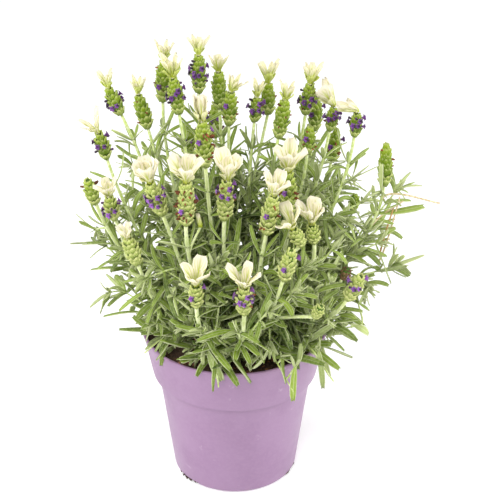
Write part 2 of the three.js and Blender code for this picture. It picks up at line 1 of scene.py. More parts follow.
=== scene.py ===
# A butterfly lavender in a lilac nursery pot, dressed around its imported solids.
# Blender works in metres. The plant's own sizes are in millimetres, and mm turns them into metres.
# +Z is up, +X to the right and +Y to the back. The origin is the middle of the pot's underside.
import bpy
import bmesh
import math
import random
import numpy as np
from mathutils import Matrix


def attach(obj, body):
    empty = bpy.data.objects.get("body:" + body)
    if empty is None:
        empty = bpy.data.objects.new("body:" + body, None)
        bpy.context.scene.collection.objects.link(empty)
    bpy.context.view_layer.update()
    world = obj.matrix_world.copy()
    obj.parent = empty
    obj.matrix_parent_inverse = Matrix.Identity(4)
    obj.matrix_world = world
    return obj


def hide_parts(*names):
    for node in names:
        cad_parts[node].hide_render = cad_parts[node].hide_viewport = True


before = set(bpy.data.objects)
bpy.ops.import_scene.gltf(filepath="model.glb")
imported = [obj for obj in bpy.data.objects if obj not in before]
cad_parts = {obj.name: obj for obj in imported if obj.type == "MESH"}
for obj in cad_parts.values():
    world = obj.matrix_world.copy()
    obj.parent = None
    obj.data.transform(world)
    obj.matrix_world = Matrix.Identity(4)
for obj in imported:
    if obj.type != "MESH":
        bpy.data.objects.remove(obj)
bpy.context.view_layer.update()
bpy.ops.object.select_all(action="DESELECT")
mm = 0.001
print("frame loaded,", len(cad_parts), "nodes")


# Tools for modelling

# Selects the points, or with "FACE" the faces, whose place passes a test.
def pick(piece, test, kind="VERT"):
    bpy.ops.mesh.select_mode(type=kind)
    cage = bmesh.from_edit_mesh(piece.data)
    for part in cage.faces if kind == "FACE" else cage.verts:
        part.select_set(bool(test(part.calc_center_median() if kind == "FACE" else part.co)))
    cage.select_flush_mode()
    bmesh.update_edit_mesh(piece.data)


def editMode(isOn):
    bpy.ops.object.mode_set(mode="EDIT" if isOn else "OBJECT")


def applyModifier(piece, kind, **settings):
    modifier = piece.modifiers.new(kind.title(), kind)
    for name, value in settings.items():
        setattr(modifier, name, value)
    bpy.context.view_layer.objects.active = piece
    bpy.ops.object.modifier_apply(modifier=modifier.name)


# A turned solid: a filled disc, raised from ring to ring. The profile is a list of (radius, height).
def turnedSolid(profile, sides):
    (radius, height), *later = profile
    place = (0, 0, height)
    bpy.ops.mesh.primitive_circle_add(vertices=sides, radius=radius, fill_type="NGON", location=place)
    piece = bpy.context.object
    bpy.ops.object.transform_apply()
    editMode(True)
    bpy.ops.mesh.select_all(action="SELECT")
    for nextRadius, nextHeight in later:
        rise, size = nextHeight - height, nextRadius / radius
        bpy.ops.mesh.extrude_region_move(TRANSFORM_OT_translate={"value": (0, 0, rise)})
        bpy.ops.transform.resize(value=(size, size, 1), center_override=(0, 0, nextHeight))
        radius, height = nextRadius, nextHeight
    bpy.ops.mesh.select_all(action="SELECT")
    bpy.ops.mesh.normals_make_consistent(inside=False)
    editMode(False)
    return piece


# Tools for materials

def colour(red, green, blue):
    straight = [value / 255 for value in (red, green, blue)]
    return (*[v / 12.92 if v < 0.04 else ((v + 0.055) / 1.055) ** 2.4 for v in straight], 1)


# Adds shader nodes to a node tree, and hands back what they put out. An input is another node's
# output, a number, or a colour as (red, green, blue) from 0 to 255. "_2" is a node's third input.
class Nodes:
    def __init__(self, tree):
        self.tree = tree

    def give(self, socket, value):
        if isinstance(value, bpy.types.NodeSocket):
            self.tree.links.new(value, socket)
        else:
            socket.default_value = colour(*value) if isinstance(value, tuple) else value

    def add(self, kind, settings=None, **inputs):
        node = self.tree.nodes.new("ShaderNode" + kind)
        for name, value in (settings or {}).items():
            setattr(node, name, value)
        for name, value in inputs.items():
            self.give(node.inputs[int(name[1:]) if name[0] == "_" else name.replace("_", " ")], value)
        return node.outputs

    def blend(self, share, low, high):
        return self.add("Mix", {"data_type": "RGBA"}, _0=share, _6=low, _7=high)[2]

    # From 0 to 1 between two values, with soft ends.
    def step(self, value, low, high):
        ends = {"From_Min": low, "From_Max": high}
        return self.add("MapRange", {"interpolation_type": "SMOOTHSTEP"}, Value=value, **ends)["Result"]

    # From low to high while a value goes from 0 to 1.
    def spread(self, value, low, high):
        return self.add("MapRange", Value=value, To_Min=low, To_Max=high)["Result"]

    def count(self, operation, *values):
        return self.add("Math", {"operation": operation}, **{f"_{i}": v for i, v in enumerate(values)})[0]

    def times(self, product, *factors):
        for factor in factors:
            product = self.count("MULTIPLY", product, factor)
        return product

    # What is left of 1.
    def rest(self, value):
        return self.count("SUBTRACT", 1.0, value)

    # A number that differs from piece to piece, kept in the mesh.
    def read(self, name):
        return self.add("Attribute", {"attribute_name": name})["Fac"]

    def noise(self, scale, **settings):
        where = self.add("TexCoord")["Object"]
        return self.add("TexNoise", Vector=where, Scale=scale, **settings)[0]

    # Where a place is on its blade: across it and along it.
    def onBlade(self):
        where = self.add("UVMap", {"uv_map": "blade"})["UV"]
        return self.add("SeparateXYZ", Vector=where)

    def use(self, group, **inputs):
        return self.add("Group", {"node_tree": group}, **inputs)

    def shade(self, **inputs):
        for name, value in inputs.items():
            self.give(self.tree.nodes["Principled BSDF"].inputs[name.replace("_", " ")], value)

    def bump(self, height, strength, distance):
        self.shade(Normal=self.add("Bump", Height=height, Strength=strength, Distance=distance)["Normal"])

    # Cloudy patches over the body colour, which are raised a little.
    def cloudy(self, body, patch, scale, amount, strength, distance):
        cloud = self.use(patches, Colour=body, Patch=patch, Scale=scale, Amount=amount)
        self.shade(Base_Color=cloud["Colour"])
        self.bump(cloud["Mask"], strength, distance)

    # Lets a share of the light through a thin blade, in the blade's own colour.
    def letLightThrough(self, body, share):
        thin = self.add("BsdfTranslucent", Color=body)[0]
        solid = self.tree.nodes["Principled BSDF"].outputs[0]
        both = self.add("MixShader", _0=share, _1=solid, _2=thin)[0]
        self.give(self.tree.nodes["Material Output"].inputs["Surface"], both)


def newMaterial(name, roughness, **settings):
    material = bpy.data.materials.new(name)
    material.use_nodes = True
    nodes = Nodes(material.node_tree)
    nodes.shade(Roughness=roughness, **settings)
    return material, nodes


def newGroup(name, inputs, outputs):
    group = bpy.data.node_groups.new(name, "ShaderNodeTree")
    for label, value in inputs.items():
        kind = "NodeSocketColor" if isinstance(value, tuple) else "NodeSocketFloat"
        group.interface.new_socket(label, in_out="INPUT", socket_type=kind).default_value = value
    for label in outputs:
        kind = "NodeSocketColor" if label == "Colour" else "NodeSocketFloat"
        group.interface.new_socket(label, in_out="OUTPUT", socket_type=kind)
    given, made = group.nodes.new("NodeGroupInput").outputs, group.nodes.new("NodeGroupOutput").inputs
    return group, Nodes(group), given, made


# Cloudy patches of a second colour, in the object's own space.
def patchesGroup():
    inputs = {"Colour": (1, 1, 1, 1), "Patch": (0, 0, 0, 1)}
    inputs |= {"Scale": 400.0, "Low": 0.4, "High": 0.65, "Amount": 1.0}
    group, nodes, given, made = newGroup("patches", inputs, ("Colour", "Mask"))
    cloud = nodes.noise(given["Scale"], Detail=3.0, Roughness=0.6)
    mask = nodes.times(nodes.step(cloud, given["Low"], given["High"]), given["Amount"])
    nodes.give(made["Colour"], nodes.blend(mask, given["Colour"], given["Patch"]))
    nodes.give(made["Mask"], mask)
    return group


# Masks that follow a blade from its foot to its tip: its edges, its midrib, its fine side veins
# and how far along it a place is.
def bladeGroup():
    inputs = {"Edge Width": 0.25, "Rib Width": 0.14, "Veins": 5.0}
    group, nodes, given, made = newGroup("bladeMasks", inputs, ("Edge", "Rib", "Vein", "Along"))
    place = nodes.onBlade()
    across = nodes.count("ABSOLUTE", nodes.count("MULTIPLY_ADD", place["X"], 2.0, -1.0))
    nodes.give(made["Edge"], nodes.step(across, nodes.rest(given["Edge Width"]), 1.0))
    nodes.give(made["Rib"], nodes.rest(nodes.step(across, 0.0, given["Rib Width"])))
    # the veins fan out from the foot, so they are counted across a width that grows with the blade
    fan = nodes.count("SUBTRACT", nodes.times(across, given["Veins"]), nodes.times(place["Y"], 2.2))
    nodes.give(made["Vein"], nodes.step(nodes.count("SINE", nodes.times(fan, 6.28)), 0.55, 1.0))
    nodes.give(made["Along"], place["Y"])
    return group


patches = patchesGroup()
bladeMasks = bladeGroup()


# Leaves: deep green to fresh green by piece, with pale rolled edges, a pale groove and a light foot. The
# pale edges are partly the leaf's own margin and partly a painted highlight.
def leafMaterial(name, deep, fresh, edge, patch, edgeAmount):
    material, nodes = newMaterial(name, 0.6, Sheen_Weight=0.06, Specular_IOR_Level=0.2)
    blade = nodes.use(bladeMasks, Edge_Width=0.26, Rib_Width=0.2)
    tint = nodes.read("tint")
    ground = nodes.blend(tint, deep, fresh)
    body = nodes.use(patches, Colour=ground, Patch=patch, Scale=420.0, Amount=0.45)["Colour"]
    body = nodes.blend(nodes.times(nodes.read("pale"), 0.75), body, (206, 214, 160))
    foot = nodes.rest(nodes.step(blade["Along"], 0.0, 0.3))
    body = nodes.blend(nodes.times(foot, 0.5), body, (176, 200, 96))
    # deep green leaves have darker ribs and edges too
    strength = nodes.count("MULTIPLY_ADD", tint, 0.85, 0.35)
    # the edge colour is partly the leaf's pale rolled margin and partly a painted highlight along it
    for mask, amount in (("Rib", 0.3), ("Edge", edgeAmount)):
        body = nodes.blend(nodes.times(blade[mask], strength, amount), body, edge)
    nodes.shade(Base_Color=body)
    nodes.letLightThrough(body, 0.15)
    nodes.bump(nodes.noise(2600.0, Detail=2.0), 0.35, 0.0004)
    return material


# Scales of a spike: green inside a pale woolly edge, whiter towards the foot of the spike. Each scale is
# darker at its own foot, a painted shade where the row above overlaps it.
def scaleMaterial():
    material, nodes = newMaterial("woollyScale", 0.75, Specular_IOR_Level=0.12)
    blade = nodes.use(bladeMasks, Edge_Width=0.4, Rib_Width=0.3)
    pale = nodes.read("pale")
    green = nodes.blend(nodes.read("tint"), (56, 90, 0), (140, 164, 18))
    green = nodes.blend(pale, green, (182, 196, 108))
    # painted shade: each scale darkens towards its own foot, in the gaps under the row above
    foot = nodes.rest(nodes.step(blade["Along"], 0.35, 0.8))
    green = nodes.blend(nodes.times(foot, 0.5), green, (76, 104, 10))
    tip = nodes.step(blade["Along"], 0.7, 1.0)
    wool = nodes.times(nodes.count("MAXIMUM", blade["Edge"], tip), nodes.spread(pale, 0.34, 0.95))
    body = nodes.blend(wool, green, (224, 226, 158))
    hairs = nodes.count("MULTIPLY_ADD", pale, 0.5, 0.14)
    nodes.cloudy(body, (220, 226, 150), 1500.0, hairs, 0.8, 0.0006)
    return material


# Bracts: cream, with a lime foot and midrib and fine fanning veins. "tint" makes a crown yellower,
# and "pale" makes a bract lime as far as its tip.
def bractMaterial():
    material, nodes = newMaterial("creamBract", 0.55)
    blade = nodes.use(bladeMasks, Edge_Width=0.3, Rib_Width=0.3, Veins=2.6)
    tint = nodes.read("tint")
    cream = nodes.blend(tint, (255, 249, 232), (255, 250, 222))
    lime = nodes.blend(tint, (206, 216, 76), (202, 218, 40))
    foot = nodes.rest(nodes.step(blade["Along"], 0.05, nodes.spread(tint, 0.5, 0.86)))
    body = nodes.blend(nodes.count("MAXIMUM", foot, nodes.read("pale")), cream, lime)
    fading = nodes.rest(nodes.step(blade["Along"], 0.55, 1.0))
    for mask, amount, line in (("Rib", 0.9, lime), ("Vein", 0.85, (208, 216, 92))):
        body = nodes.blend(nodes.times(blade[mask], amount, fading), body, line)
    nodes.shade(Base_Color=body)
    nodes.letLightThrough(body, 0.4)
    nodes.bump(blade["Vein"], 0.3, 0.0005)
    return material


# Open flowers: violet lobes round a dark throat, told apart by the distance from the middle.
def petalMaterial(name, lobe, other, throat):
    material, nodes = newMaterial(name, 0.6, Sheen_Weight=0.3)
    body = nodes.blend(nodes.read("tint"), lobe, other)
    body = nodes.blend(nodes.step(nodes.onBlade()["X"], 0.12, 0.3), throat, body)
    nodes.cloudy(body, throat, 1500.0, 0.35, 0.4, 0.0003)
    return material


def plainMaterial(name, roughness, low, high, *cloud, **settings):
    material, nodes = newMaterial(name, roughness, **settings)
    nodes.cloudy(nodes.blend(nodes.read("tint"), low, high), *cloud)
    return material


def driedMaterial(name, light, dark):
    return plainMaterial(name, 0.8, light, dark, dark, 500.0, 0.7, 0.6, 0.0005)


# the third colour of each is the pale edge: partly the leaf's own margin, partly a painted highlight
leafTop = (40, 68, 2), (144, 170, 50), (238, 240, 202), (160, 180, 92), 0.65
leafUnder = (112, 134, 60), (190, 204, 128), (232, 238, 196), (184, 198, 132), 0.6
stalkSkin = (166, 190, 72), (208, 220, 146), (234, 238, 200), 300.0, 0.6, 0.25, 0.0003

# Every plant piece has the same row of materials, and a shape's faces name theirs by number.
plantPaints = {
    "leafTop": leafMaterial("leafTop", *leafTop),
    "leafUnder": leafMaterial("leafUnder", *leafUnder),
    "stalk": plainMaterial("stalkSkin", 0.55, *stalkSkin, Sheen_Weight=0.3),
    "scale": scaleMaterial(),
    "violet": petalMaterial("violetPetal", (88, 30, 112), (156, 92, 190), (44, 10, 52)),
    "dusk": petalMaterial("duskyPetal", (68, 26, 74), (88, 36, 92), (34, 10, 36)),
    "rust": driedMaterial("fadedPetal", (160, 92, 46), (94, 48, 24)),
    "bract": bractMaterial(),
    "core": driedMaterial("spikeCore", (84, 118, 26), (52, 80, 16)),
    "husk": driedMaterial("driedHusk", (172, 142, 96), (92, 64, 40)),
    "straw": driedMaterial("strawSkin", (238, 230, 190), (184, 144, 92)),
    "earth": driedMaterial("darkEarth", (88, 62, 44), (44, 32, 24)),
    "bark": driedMaterial("barkChip", (156, 104, 68), (66, 46, 32)),
}
paintNumbers = {name: number for number, name in enumerate(plantPaints)}
print("materials made")


# The pot: a turned plastic shell with a deep collar, a rolled lip and drainage slots at its foot

pot = {
    "height": 134,
    "rimRadius": 75,
    "collarFootRadius": 67.5,
    "collarFootHeight": 94,
    "shoulderRadius": 62.9,
    "footRadius": 51,
    "footHeight": 4,
    "restRadius": 47,
    "wall": 1.6,
    "floor": 2,
    "lip": 1.1,
    "sides": 128,
    "slots": 3,
    "slotTurn": 220,  # degrees from +X to the first slot
    "slotWidth": 24,
    "slotHeight": 3.4,
    "slotDepth": 9,
    "slotRounding": 1.2,
    "smoothAngle": 35,
}


def potProfile():
    radii = ("restRadius", "footRadius", "shoulderRadius", "collarFootRadius", "rimRadius")
    rest, foot, shoulder, collar, rim = (pot[key] for key in radii)
    wall, top, step, lip = (pot[key] for key in ("wall", "height", "collarFootHeight", "lip"))
    slope = (rim - 0.4 - collar) / (top - 3 * lip - step)
    outside = [(rest, 0), (rest + 1.3, 0.3), (rest + 2.3, 1.1), (foot - 0.5, 2.4), (foot, pot["footHeight"])]
    outside += [(foot + 3.7, 32), (foot + 7.8, 63), (shoulder, step - 2.4)]
    fillet = [(shoulder + 0.5, step - 1.2), (collar - 1.2, step - 0.9), (collar - 0.3, step - 0.5)]
    outside += [*fillet, (collar, step + 0.4), (collar + 18 * slope, step + 18)]
    outside += [(rim - 0.5, top - 3.3 * lip), (rim - 0.3, top - 2.7 * lip)]
    outside += [(rim + lip * 0.4, top - 2.2 * lip), (rim + lip * 0.5, top - 1.3 * lip)]
    outside += [(rim + lip * 0.3, top - 0.5 * lip), (rim - 0.3, top - 0.1 * lip), (rim - wall * 0.5, top)]
    inside = [(rim - wall * 0.9, top - 0.2 * lip), (rim - wall, top - lip), (collar - wall, step + 1.8)]
    inside += [(shoulder - wall, step + 0.4), (foot - wall, pot["footHeight"] + 1), (rest, pot["floor"])]
    return [(radius * mm, height * mm) for radius, height in outside + inside]


def makeSlotCutter(turn):
    depth, width, height = (pot[key] * mm for key in ("slotDepth", "slotWidth", "slotHeight"))
    bpy.ops.mesh.primitive_cube_add(size=1, location=(pot["footRadius"] * mm, 0, 0))
    cutter = bpy.context.object
    cutter.scale = (2 * depth, width, 2 * height)
    bpy.ops.object.transform_apply()
    applyModifier(cutter, "BEVEL", width=pot["slotRounding"] * mm, segments=3)
    cutter.rotation_euler = (0, 0, math.radians(turn))
    bpy.ops.object.transform_apply()
    return cutter


def makePot():
    shell = turnedSolid(potProfile(), pot["sides"])
    shell.name = "nursery_pot"
    for i in range(pot["slots"]):
        cutter = makeSlotCutter(pot["slotTurn"] + 360 * i / pot["slots"])
        applyModifier(shell, "BOOLEAN", object=cutter, operation="DIFFERENCE", solver="EXACT")
        bpy.data.objects.remove(cutter)
        bpy.ops.object.select_all(action="DESELECT")
    shell.select_set(True)
    bpy.context.view_layer.objects.active = shell
    bpy.ops.object.shade_smooth_by_angle(angle=math.radians(pot["smoothAngle"]))
    return shell


# Lilac plastic: faint cloudy mottling, scuffs and a fine moulded grain.
def potMaterial():
    material, nodes = newMaterial("lilacPlastic", 0.42, Specular_IOR_Level=0.45)
    broad = nodes.use(patches, Colour=(148, 117, 149), Patch=(142, 111, 143), Scale=26.0, Amount=0.8)
    fine = {"Patch": (155, 125, 156), "Scale": 330.0, "Amount": 0.28}
    scuffs = {"Patch": (176, 153, 175), "Scale": 90.0, "Low": 0.66, "High": 0.74, "Amount": 0.5}
    body = nodes.use(patches, Colour=broad["Colour"], **fine)["Colour"]
    body = nodes.use(patches, Colour=body, **scuffs)["Colour"]
    nodes.shade(Base_Color=body, Roughness=nodes.spread(broad["Mask"], 0.38, 0.5))
    nodes.bump(nodes.noise(1800.0, Detail=2.0), 0.08, 0.0003)
    return material


nurseryPot = makePot()
nurseryPot.data.materials.append(potMaterial())
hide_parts("pot")
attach(nurseryPot, "root")
print("pot made")


# Shapes that repeat. Each is modelled once, one unit long, and copied as numbers: x across it,
# y along it from 0 to 1 and z towards its upper face.

# Keeps a modelled piece as numbers, and removes it.
def keepShape(piece):
    mesh = piece.data
    points = np.array([point.co for point in mesh.vertices], float)
    if mesh.uv_layers:
        uv = np.array([entry.uv for entry in mesh.uv_layers.active.data], float)
    else:  # a turned shape: how far each point is from the middle, and how far along
        loops = np.array([loop.vertex_index for loop in mesh.loops])
        uv = np.stack([np.hypot(points[:, 0], points[:, 2])[loops], points[loops, 1]], axis=1)
    faces = [tuple(face.vertices) for face in mesh.polygons]
    underside = [face.material_index for face in mesh.polygons]
    bpy.data.objects.remove(piece)
    return {"points": points, "faces": faces, "underside": underside, "uv": uv}


near = 0.01  # how close to its row or column a point of a blade is taken to be


# A thin closed blade. "widths" run from foot to tip, "section" gives the height of each column
# from edge to edge, and "ripple" waves the edges up and down.
def makeBlade(widths, section, thickness, ripple=0.0, curl=0.0):
    rows, columns = len(widths) - 1, len(section) - 1
    size = {"x_subdivisions": columns, "y_subdivisions": rows, "size": 1}
    bpy.ops.mesh.primitive_grid_add(**size, location=(0, 0.5, 0))
    blade = bpy.context.object
    bpy.ops.object.transform_apply()
    editMode(True)
    for column, height in enumerate(section):
        x = column / columns - 0.5
        pick(blade, lambda co: abs(co.x - x) < near)
        bpy.ops.transform.translate(value=(0, 0, height))
    for row, width in enumerate(widths):
        y = row / rows
        for side in (-0.5, 0.5) if ripple else ():
            pick(blade, lambda co: abs(co.x - side) < near and abs(co.y - y) < near)
            wave = math.sin(5.5 * row * (1 + 0.2 * side) + 4 * side)
            bpy.ops.transform.translate(value=(0, 0, ripple * wave))
        pick(blade, lambda co: abs(co.y - y) < near)
        bpy.ops.transform.resize(value=(width, 1, 1), center_override=(0, y, 0))
        bpy.ops.transform.translate(value=(0, 0, curl * y * y))
    editMode(False)
    for _ in range(2):  # places for the paints of its two faces
        blade.data.materials.append(None)
    applyModifier(blade, "SOLIDIFY", thickness=thickness, offset=0, material_offset=1)
    return keepShape(blade)


# A turned shape laid along y. "fluting" pulls in every other point, as on a square stalk.
def makeTurned(profile, sides, fluting=1.0, flutedFrom=0.0):
    piece = turnedSolid(profile, sides)
    if fluting != 1.0:
        editMode(True)
        step = 2 * math.pi / sides
        pick(piece, lambda co: co.z >= flutedFrom and round(math.atan2(co.x, co.y) / step) % 2)
        bpy.ops.transform.resize(value=(fluting, fluting, 1), center_override=(0, 0, 0))
        editMode(False)
    piece.rotation_euler = (-math.pi / 2, 0, 0)
    bpy.ops.object.transform_apply()
    return keepShape(piece)


stalkRings = 16
stalkProfile = [(1.0, i / stalkRings) for i in range(stalkRings + 1)]
coreProfile = [(0.25, 0), (0.62, 0.06), (0.9, 0.22), (1.0, 0.42), (0.92, 0.65), (0.72, 0.86), (0.3, 1)]
tube = [(0.11, 0), (0.14, 0.35), (0.2, 0.7), (0.34, 0.86), (0.52, 0.93)]  # of a flower
lobes = [(0.5, 1.0), (0.3, 0.95), (0.15, 0.86), (0.07, 0.6)]
gutter = [-0.1, 0.06, -0.05, 0.06, -0.1]  # rolled edges and a groove along the middle
blades = {  # widths, section, thickness, ripple and curl
    "leaf": ([0.3, 0.6, 0.86, 1.0, 1.02, 1.0, 0.9, 0.48], gutter, 0.12),
    "slimLeaf": ([0.4, 0.8, 1.0, 0.98, 0.84, 0.4], [-0.08, 0.05, -0.08], 0.15),
    "scale": ([0.8, 0.98, 1.0, 0.84, 0.5, 0.08], [-0.2, -0.02, 0.07, -0.02, -0.2], 0.09, 0.0, 0.02),
    "broadBract": (
        [0.2, 0.26, 0.38, 0.6, 0.86, 1.0, 0.97, 0.62],
        [0.1, 0.02, -0.03, -0.08, -0.03, 0.02, 0.1],
        0.055,
        0.08,
    ),
    "wavyBract": (
        [0.2, 0.24, 0.34, 0.52, 0.8, 1.0, 0.98, 0.7],
        [0.04, -0.03, 0.05, -0.05, 0.05, -0.03, 0.04],
        0.055,
        0.13,
    ),
    "slimBract": ([0.3, 0.42, 0.6, 0.82, 1.0, 0.94, 0.7, 0.14], [0.16, 0.02, -0.06, 0.02, 0.16], 0.08, 0.1),
    "foldedBract": (
        [0.22, 0.3, 0.46, 0.66, 0.86, 0.94, 0.78, 0.3],
        [0.26, 0.12, 0.02, -0.06, 0.02, 0.12, 0.26],
        0.055,
        0.05,
    ),
}
shapes = {name: makeBlade(*numbers) for name, numbers in blades.items()}
shapes |= {
    "stalk": makeTurned(stalkProfile, 8, 0.8),
    "core": makeTurned(coreProfile, 10),
    "floret": makeTurned(tube + lobes, 10, 0.66, 0.9),
    "bud": makeTurned([(0.14, 0), (0.2, 0.4), (0.3, 0.8), (0.16, 1.0)], 6, 0.8),
    "shred": makeTurned([(0.2, 0), (0.3, 0.5), (0.16, 0.85), (0.26, 1.0)], 5, 0.5, 0.4),
}
print("shapes made:", {name: len(shape["faces"]) for name, shape in shapes.items()})


# Copies of shapes, gathered for one piece of the scene

def newBundle():
    return {"points": [], "faces": [], "paints": [], "uv": [], "tint": [], "pale": [], "count": 0}


# The paint is one for both, or a pair: that of a shape's upper face and that of its underside.
def addCopy(bundle, shape, points, paint, tint=0.5, pale=0.0):
    first = bundle["count"]
    paints = paint if isinstance(paint, tuple) else (paint, paint)
    bundle["faces"] += [tuple(first + i for i in face) for face in shape["faces"]]
    bundle["paints"] += [paintNumbers[paints[side]] for side in shape["underside"]]
    marks = {"tint": np.full(len(points), tint), "pale": np.full(len(points), pale)}
    for key, values in ({"points": points, "uv": shape["uv"]} | marks).items():
        bundle[key].append(values)
    bundle["count"] += len(points)


# Lays a shape along a reach that bows: its upper face looks towards "facing", and "twist" turns
# it about its own length on the way to its tip.
def layCopy(bundle, name, start, reach, facing, width, paint, bow=(0, 0, 0), depth=None, twist=0.0, **marks):
    shape = shapes[name]
    x, y, z = (shape["points"][:, i : i + 1] for i in range(3))
    bow = np.array(bow, float)
    run = reach + 2 * bow * y
    run = run / np.linalg.norm(run, axis=1, keepdims=True)
    side = np.cross(run, facing)
    side = side / np.linalg.norm(side, axis=1, keepdims=True)
    over = np.cross(side, run)
    c, s = np.cos(twist * y), np.sin(twist * y)
    side, over = side * c + over * s, over * c - side * s
    points = start + reach * y + bow * y * y + side * x * width + over * z * (depth or width)
    addCopy(bundle, shape, points, paint, **marks)


# Makes the bundle one piece of the scene, in metres.
def makePiece(name, bundle, slotName, *nodes):
    mesh = bpy.data.meshes.new(name)
    mesh.from_pydata((np.concatenate(bundle["points"]) * mm).tolist(), [], bundle["faces"])
    blade = mesh.uv_layers.new(name="blade")
    blade.data.foreach_set("uv", np.concatenate(bundle["uv"]).ravel())
    for mark in ("tint", "pale"):
        attribute = mesh.attributes.new(mark, "FLOAT", "POINT")
        attribute.data.foreach_set("value", np.concatenate(bundle[mark]))
    used = sorted(set(bundle["paints"]))
    for number in used:
        mesh.materials.append(list(plantPaints.values())[number])
    mesh.polygons.foreach_set("material_index", [used.index(number) for number in bundle["paints"]])
    mesh.polygons.foreach_set("use_smooth", [True] * len(bundle["faces"]))
    mesh.update()
    piece = bpy.data.objects.new(name, mesh)
    bpy.context.collection.objects.link(piece)
    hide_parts(*nodes)
    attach(piece, "root")


# The plant's skeleton. It is grown by the rules, numbers and draws that its solids have, so that
# every stem, leaf, flower and bract of the solids finds its finer copy in the same place.

soil = {"height": 126, "roughness": 1.3}
stem = {
    "halfDiagonal": 1.35,
    "rootDepth": 14,
    "gather": 0.36,
    "rise": 0.36,
    "lift": 0.05,
    "approach": 0.3,
    "longestStretch": 45,
    "steps": 12,
    "straight": 22,
    "forkShare": 0.45,
    "shootShare": 0.22,
    "shootStep": 0.06,
    "strawShare": 0.72,
    "strawStep": 0.18,
    "strawHalfDiagonal": 0.9,
}
shoot = {"halfDiagonal": 1.15, "start": 0.3, "bend": 0.66, "lift": 0.06, "steps": 8}
spike = {
    "radius": 5.6,
    "columns": 8,
    "rowHeight": 5.6,
    "scaleOut": 1.18,
    "slimmest": 0.55,  # girth of a very short one, and the length over which a whole one is gained
    "gain": 60,
    "roundness": 0.9,  # how much it narrows, how fast, and where it is widest
    "taper": 1.72,
    "middle": 0.78,
    "footRoom": 1.2,
    "endRoom": 2.5,
}
bract = {
    "width": 7,
    "fullLength": 20,
    "hubRadius": 1.9,
    "hubHeight": 2.2,
    "seat": 0.3,
    "stations": (0.4, 0.75, 1),
    "reach": (0.78, 1),
    "spread": (0.16, 0.42),
    "swing": 0.25,
    "curl": 0.22,
    "tries": 6,
}
leaf = {
    "spacing": 60,
    "length": 33,
    "axilLength": 22,
    "width": 4.4,
    "foot": 0.9,
    "footRadius": 1.4,
    "bareBelowSpike": 26,
    "bareAboveSoil": 18,
    "bareOnShoot": 14,
    "bareAtTip": 5,
    "clearance": 0.4,
    "longStations": (0, 0.35, 0.75, 1),
    "shortStations": (0, 0.5, 1),
    "stretch": (0.75, 1.1),
    "tilt": (0.6, 1.1),
    "sag": (0, 0.2),
    "swing": 0.7,
    "lowestSize": 1.12,
    "shrink": 0.4,
    "tries": 6,
}
floret = {"length": 3.4, "firstColumn": 5, "columnStep": 3}


# A spike: its foot and its top, how long its bracts are, and its florets with the height of their
# ring up the spike, from 0 to 1. "lean" tips its crown, "fork" is a second spike on its stem,
# "shoots" are the tips of the stem's leafy side shoots, and "straws" those of dry leafless ones.
def newHead(name, foot, top, bracts=0, florets=0, at=0.5, **more):
    ends = {"foot": np.array(foot, float), "top": np.array(top, float)}
    return {"name": name, "bracts": bracts, "florets": florets, "at": at, **ends, **more}


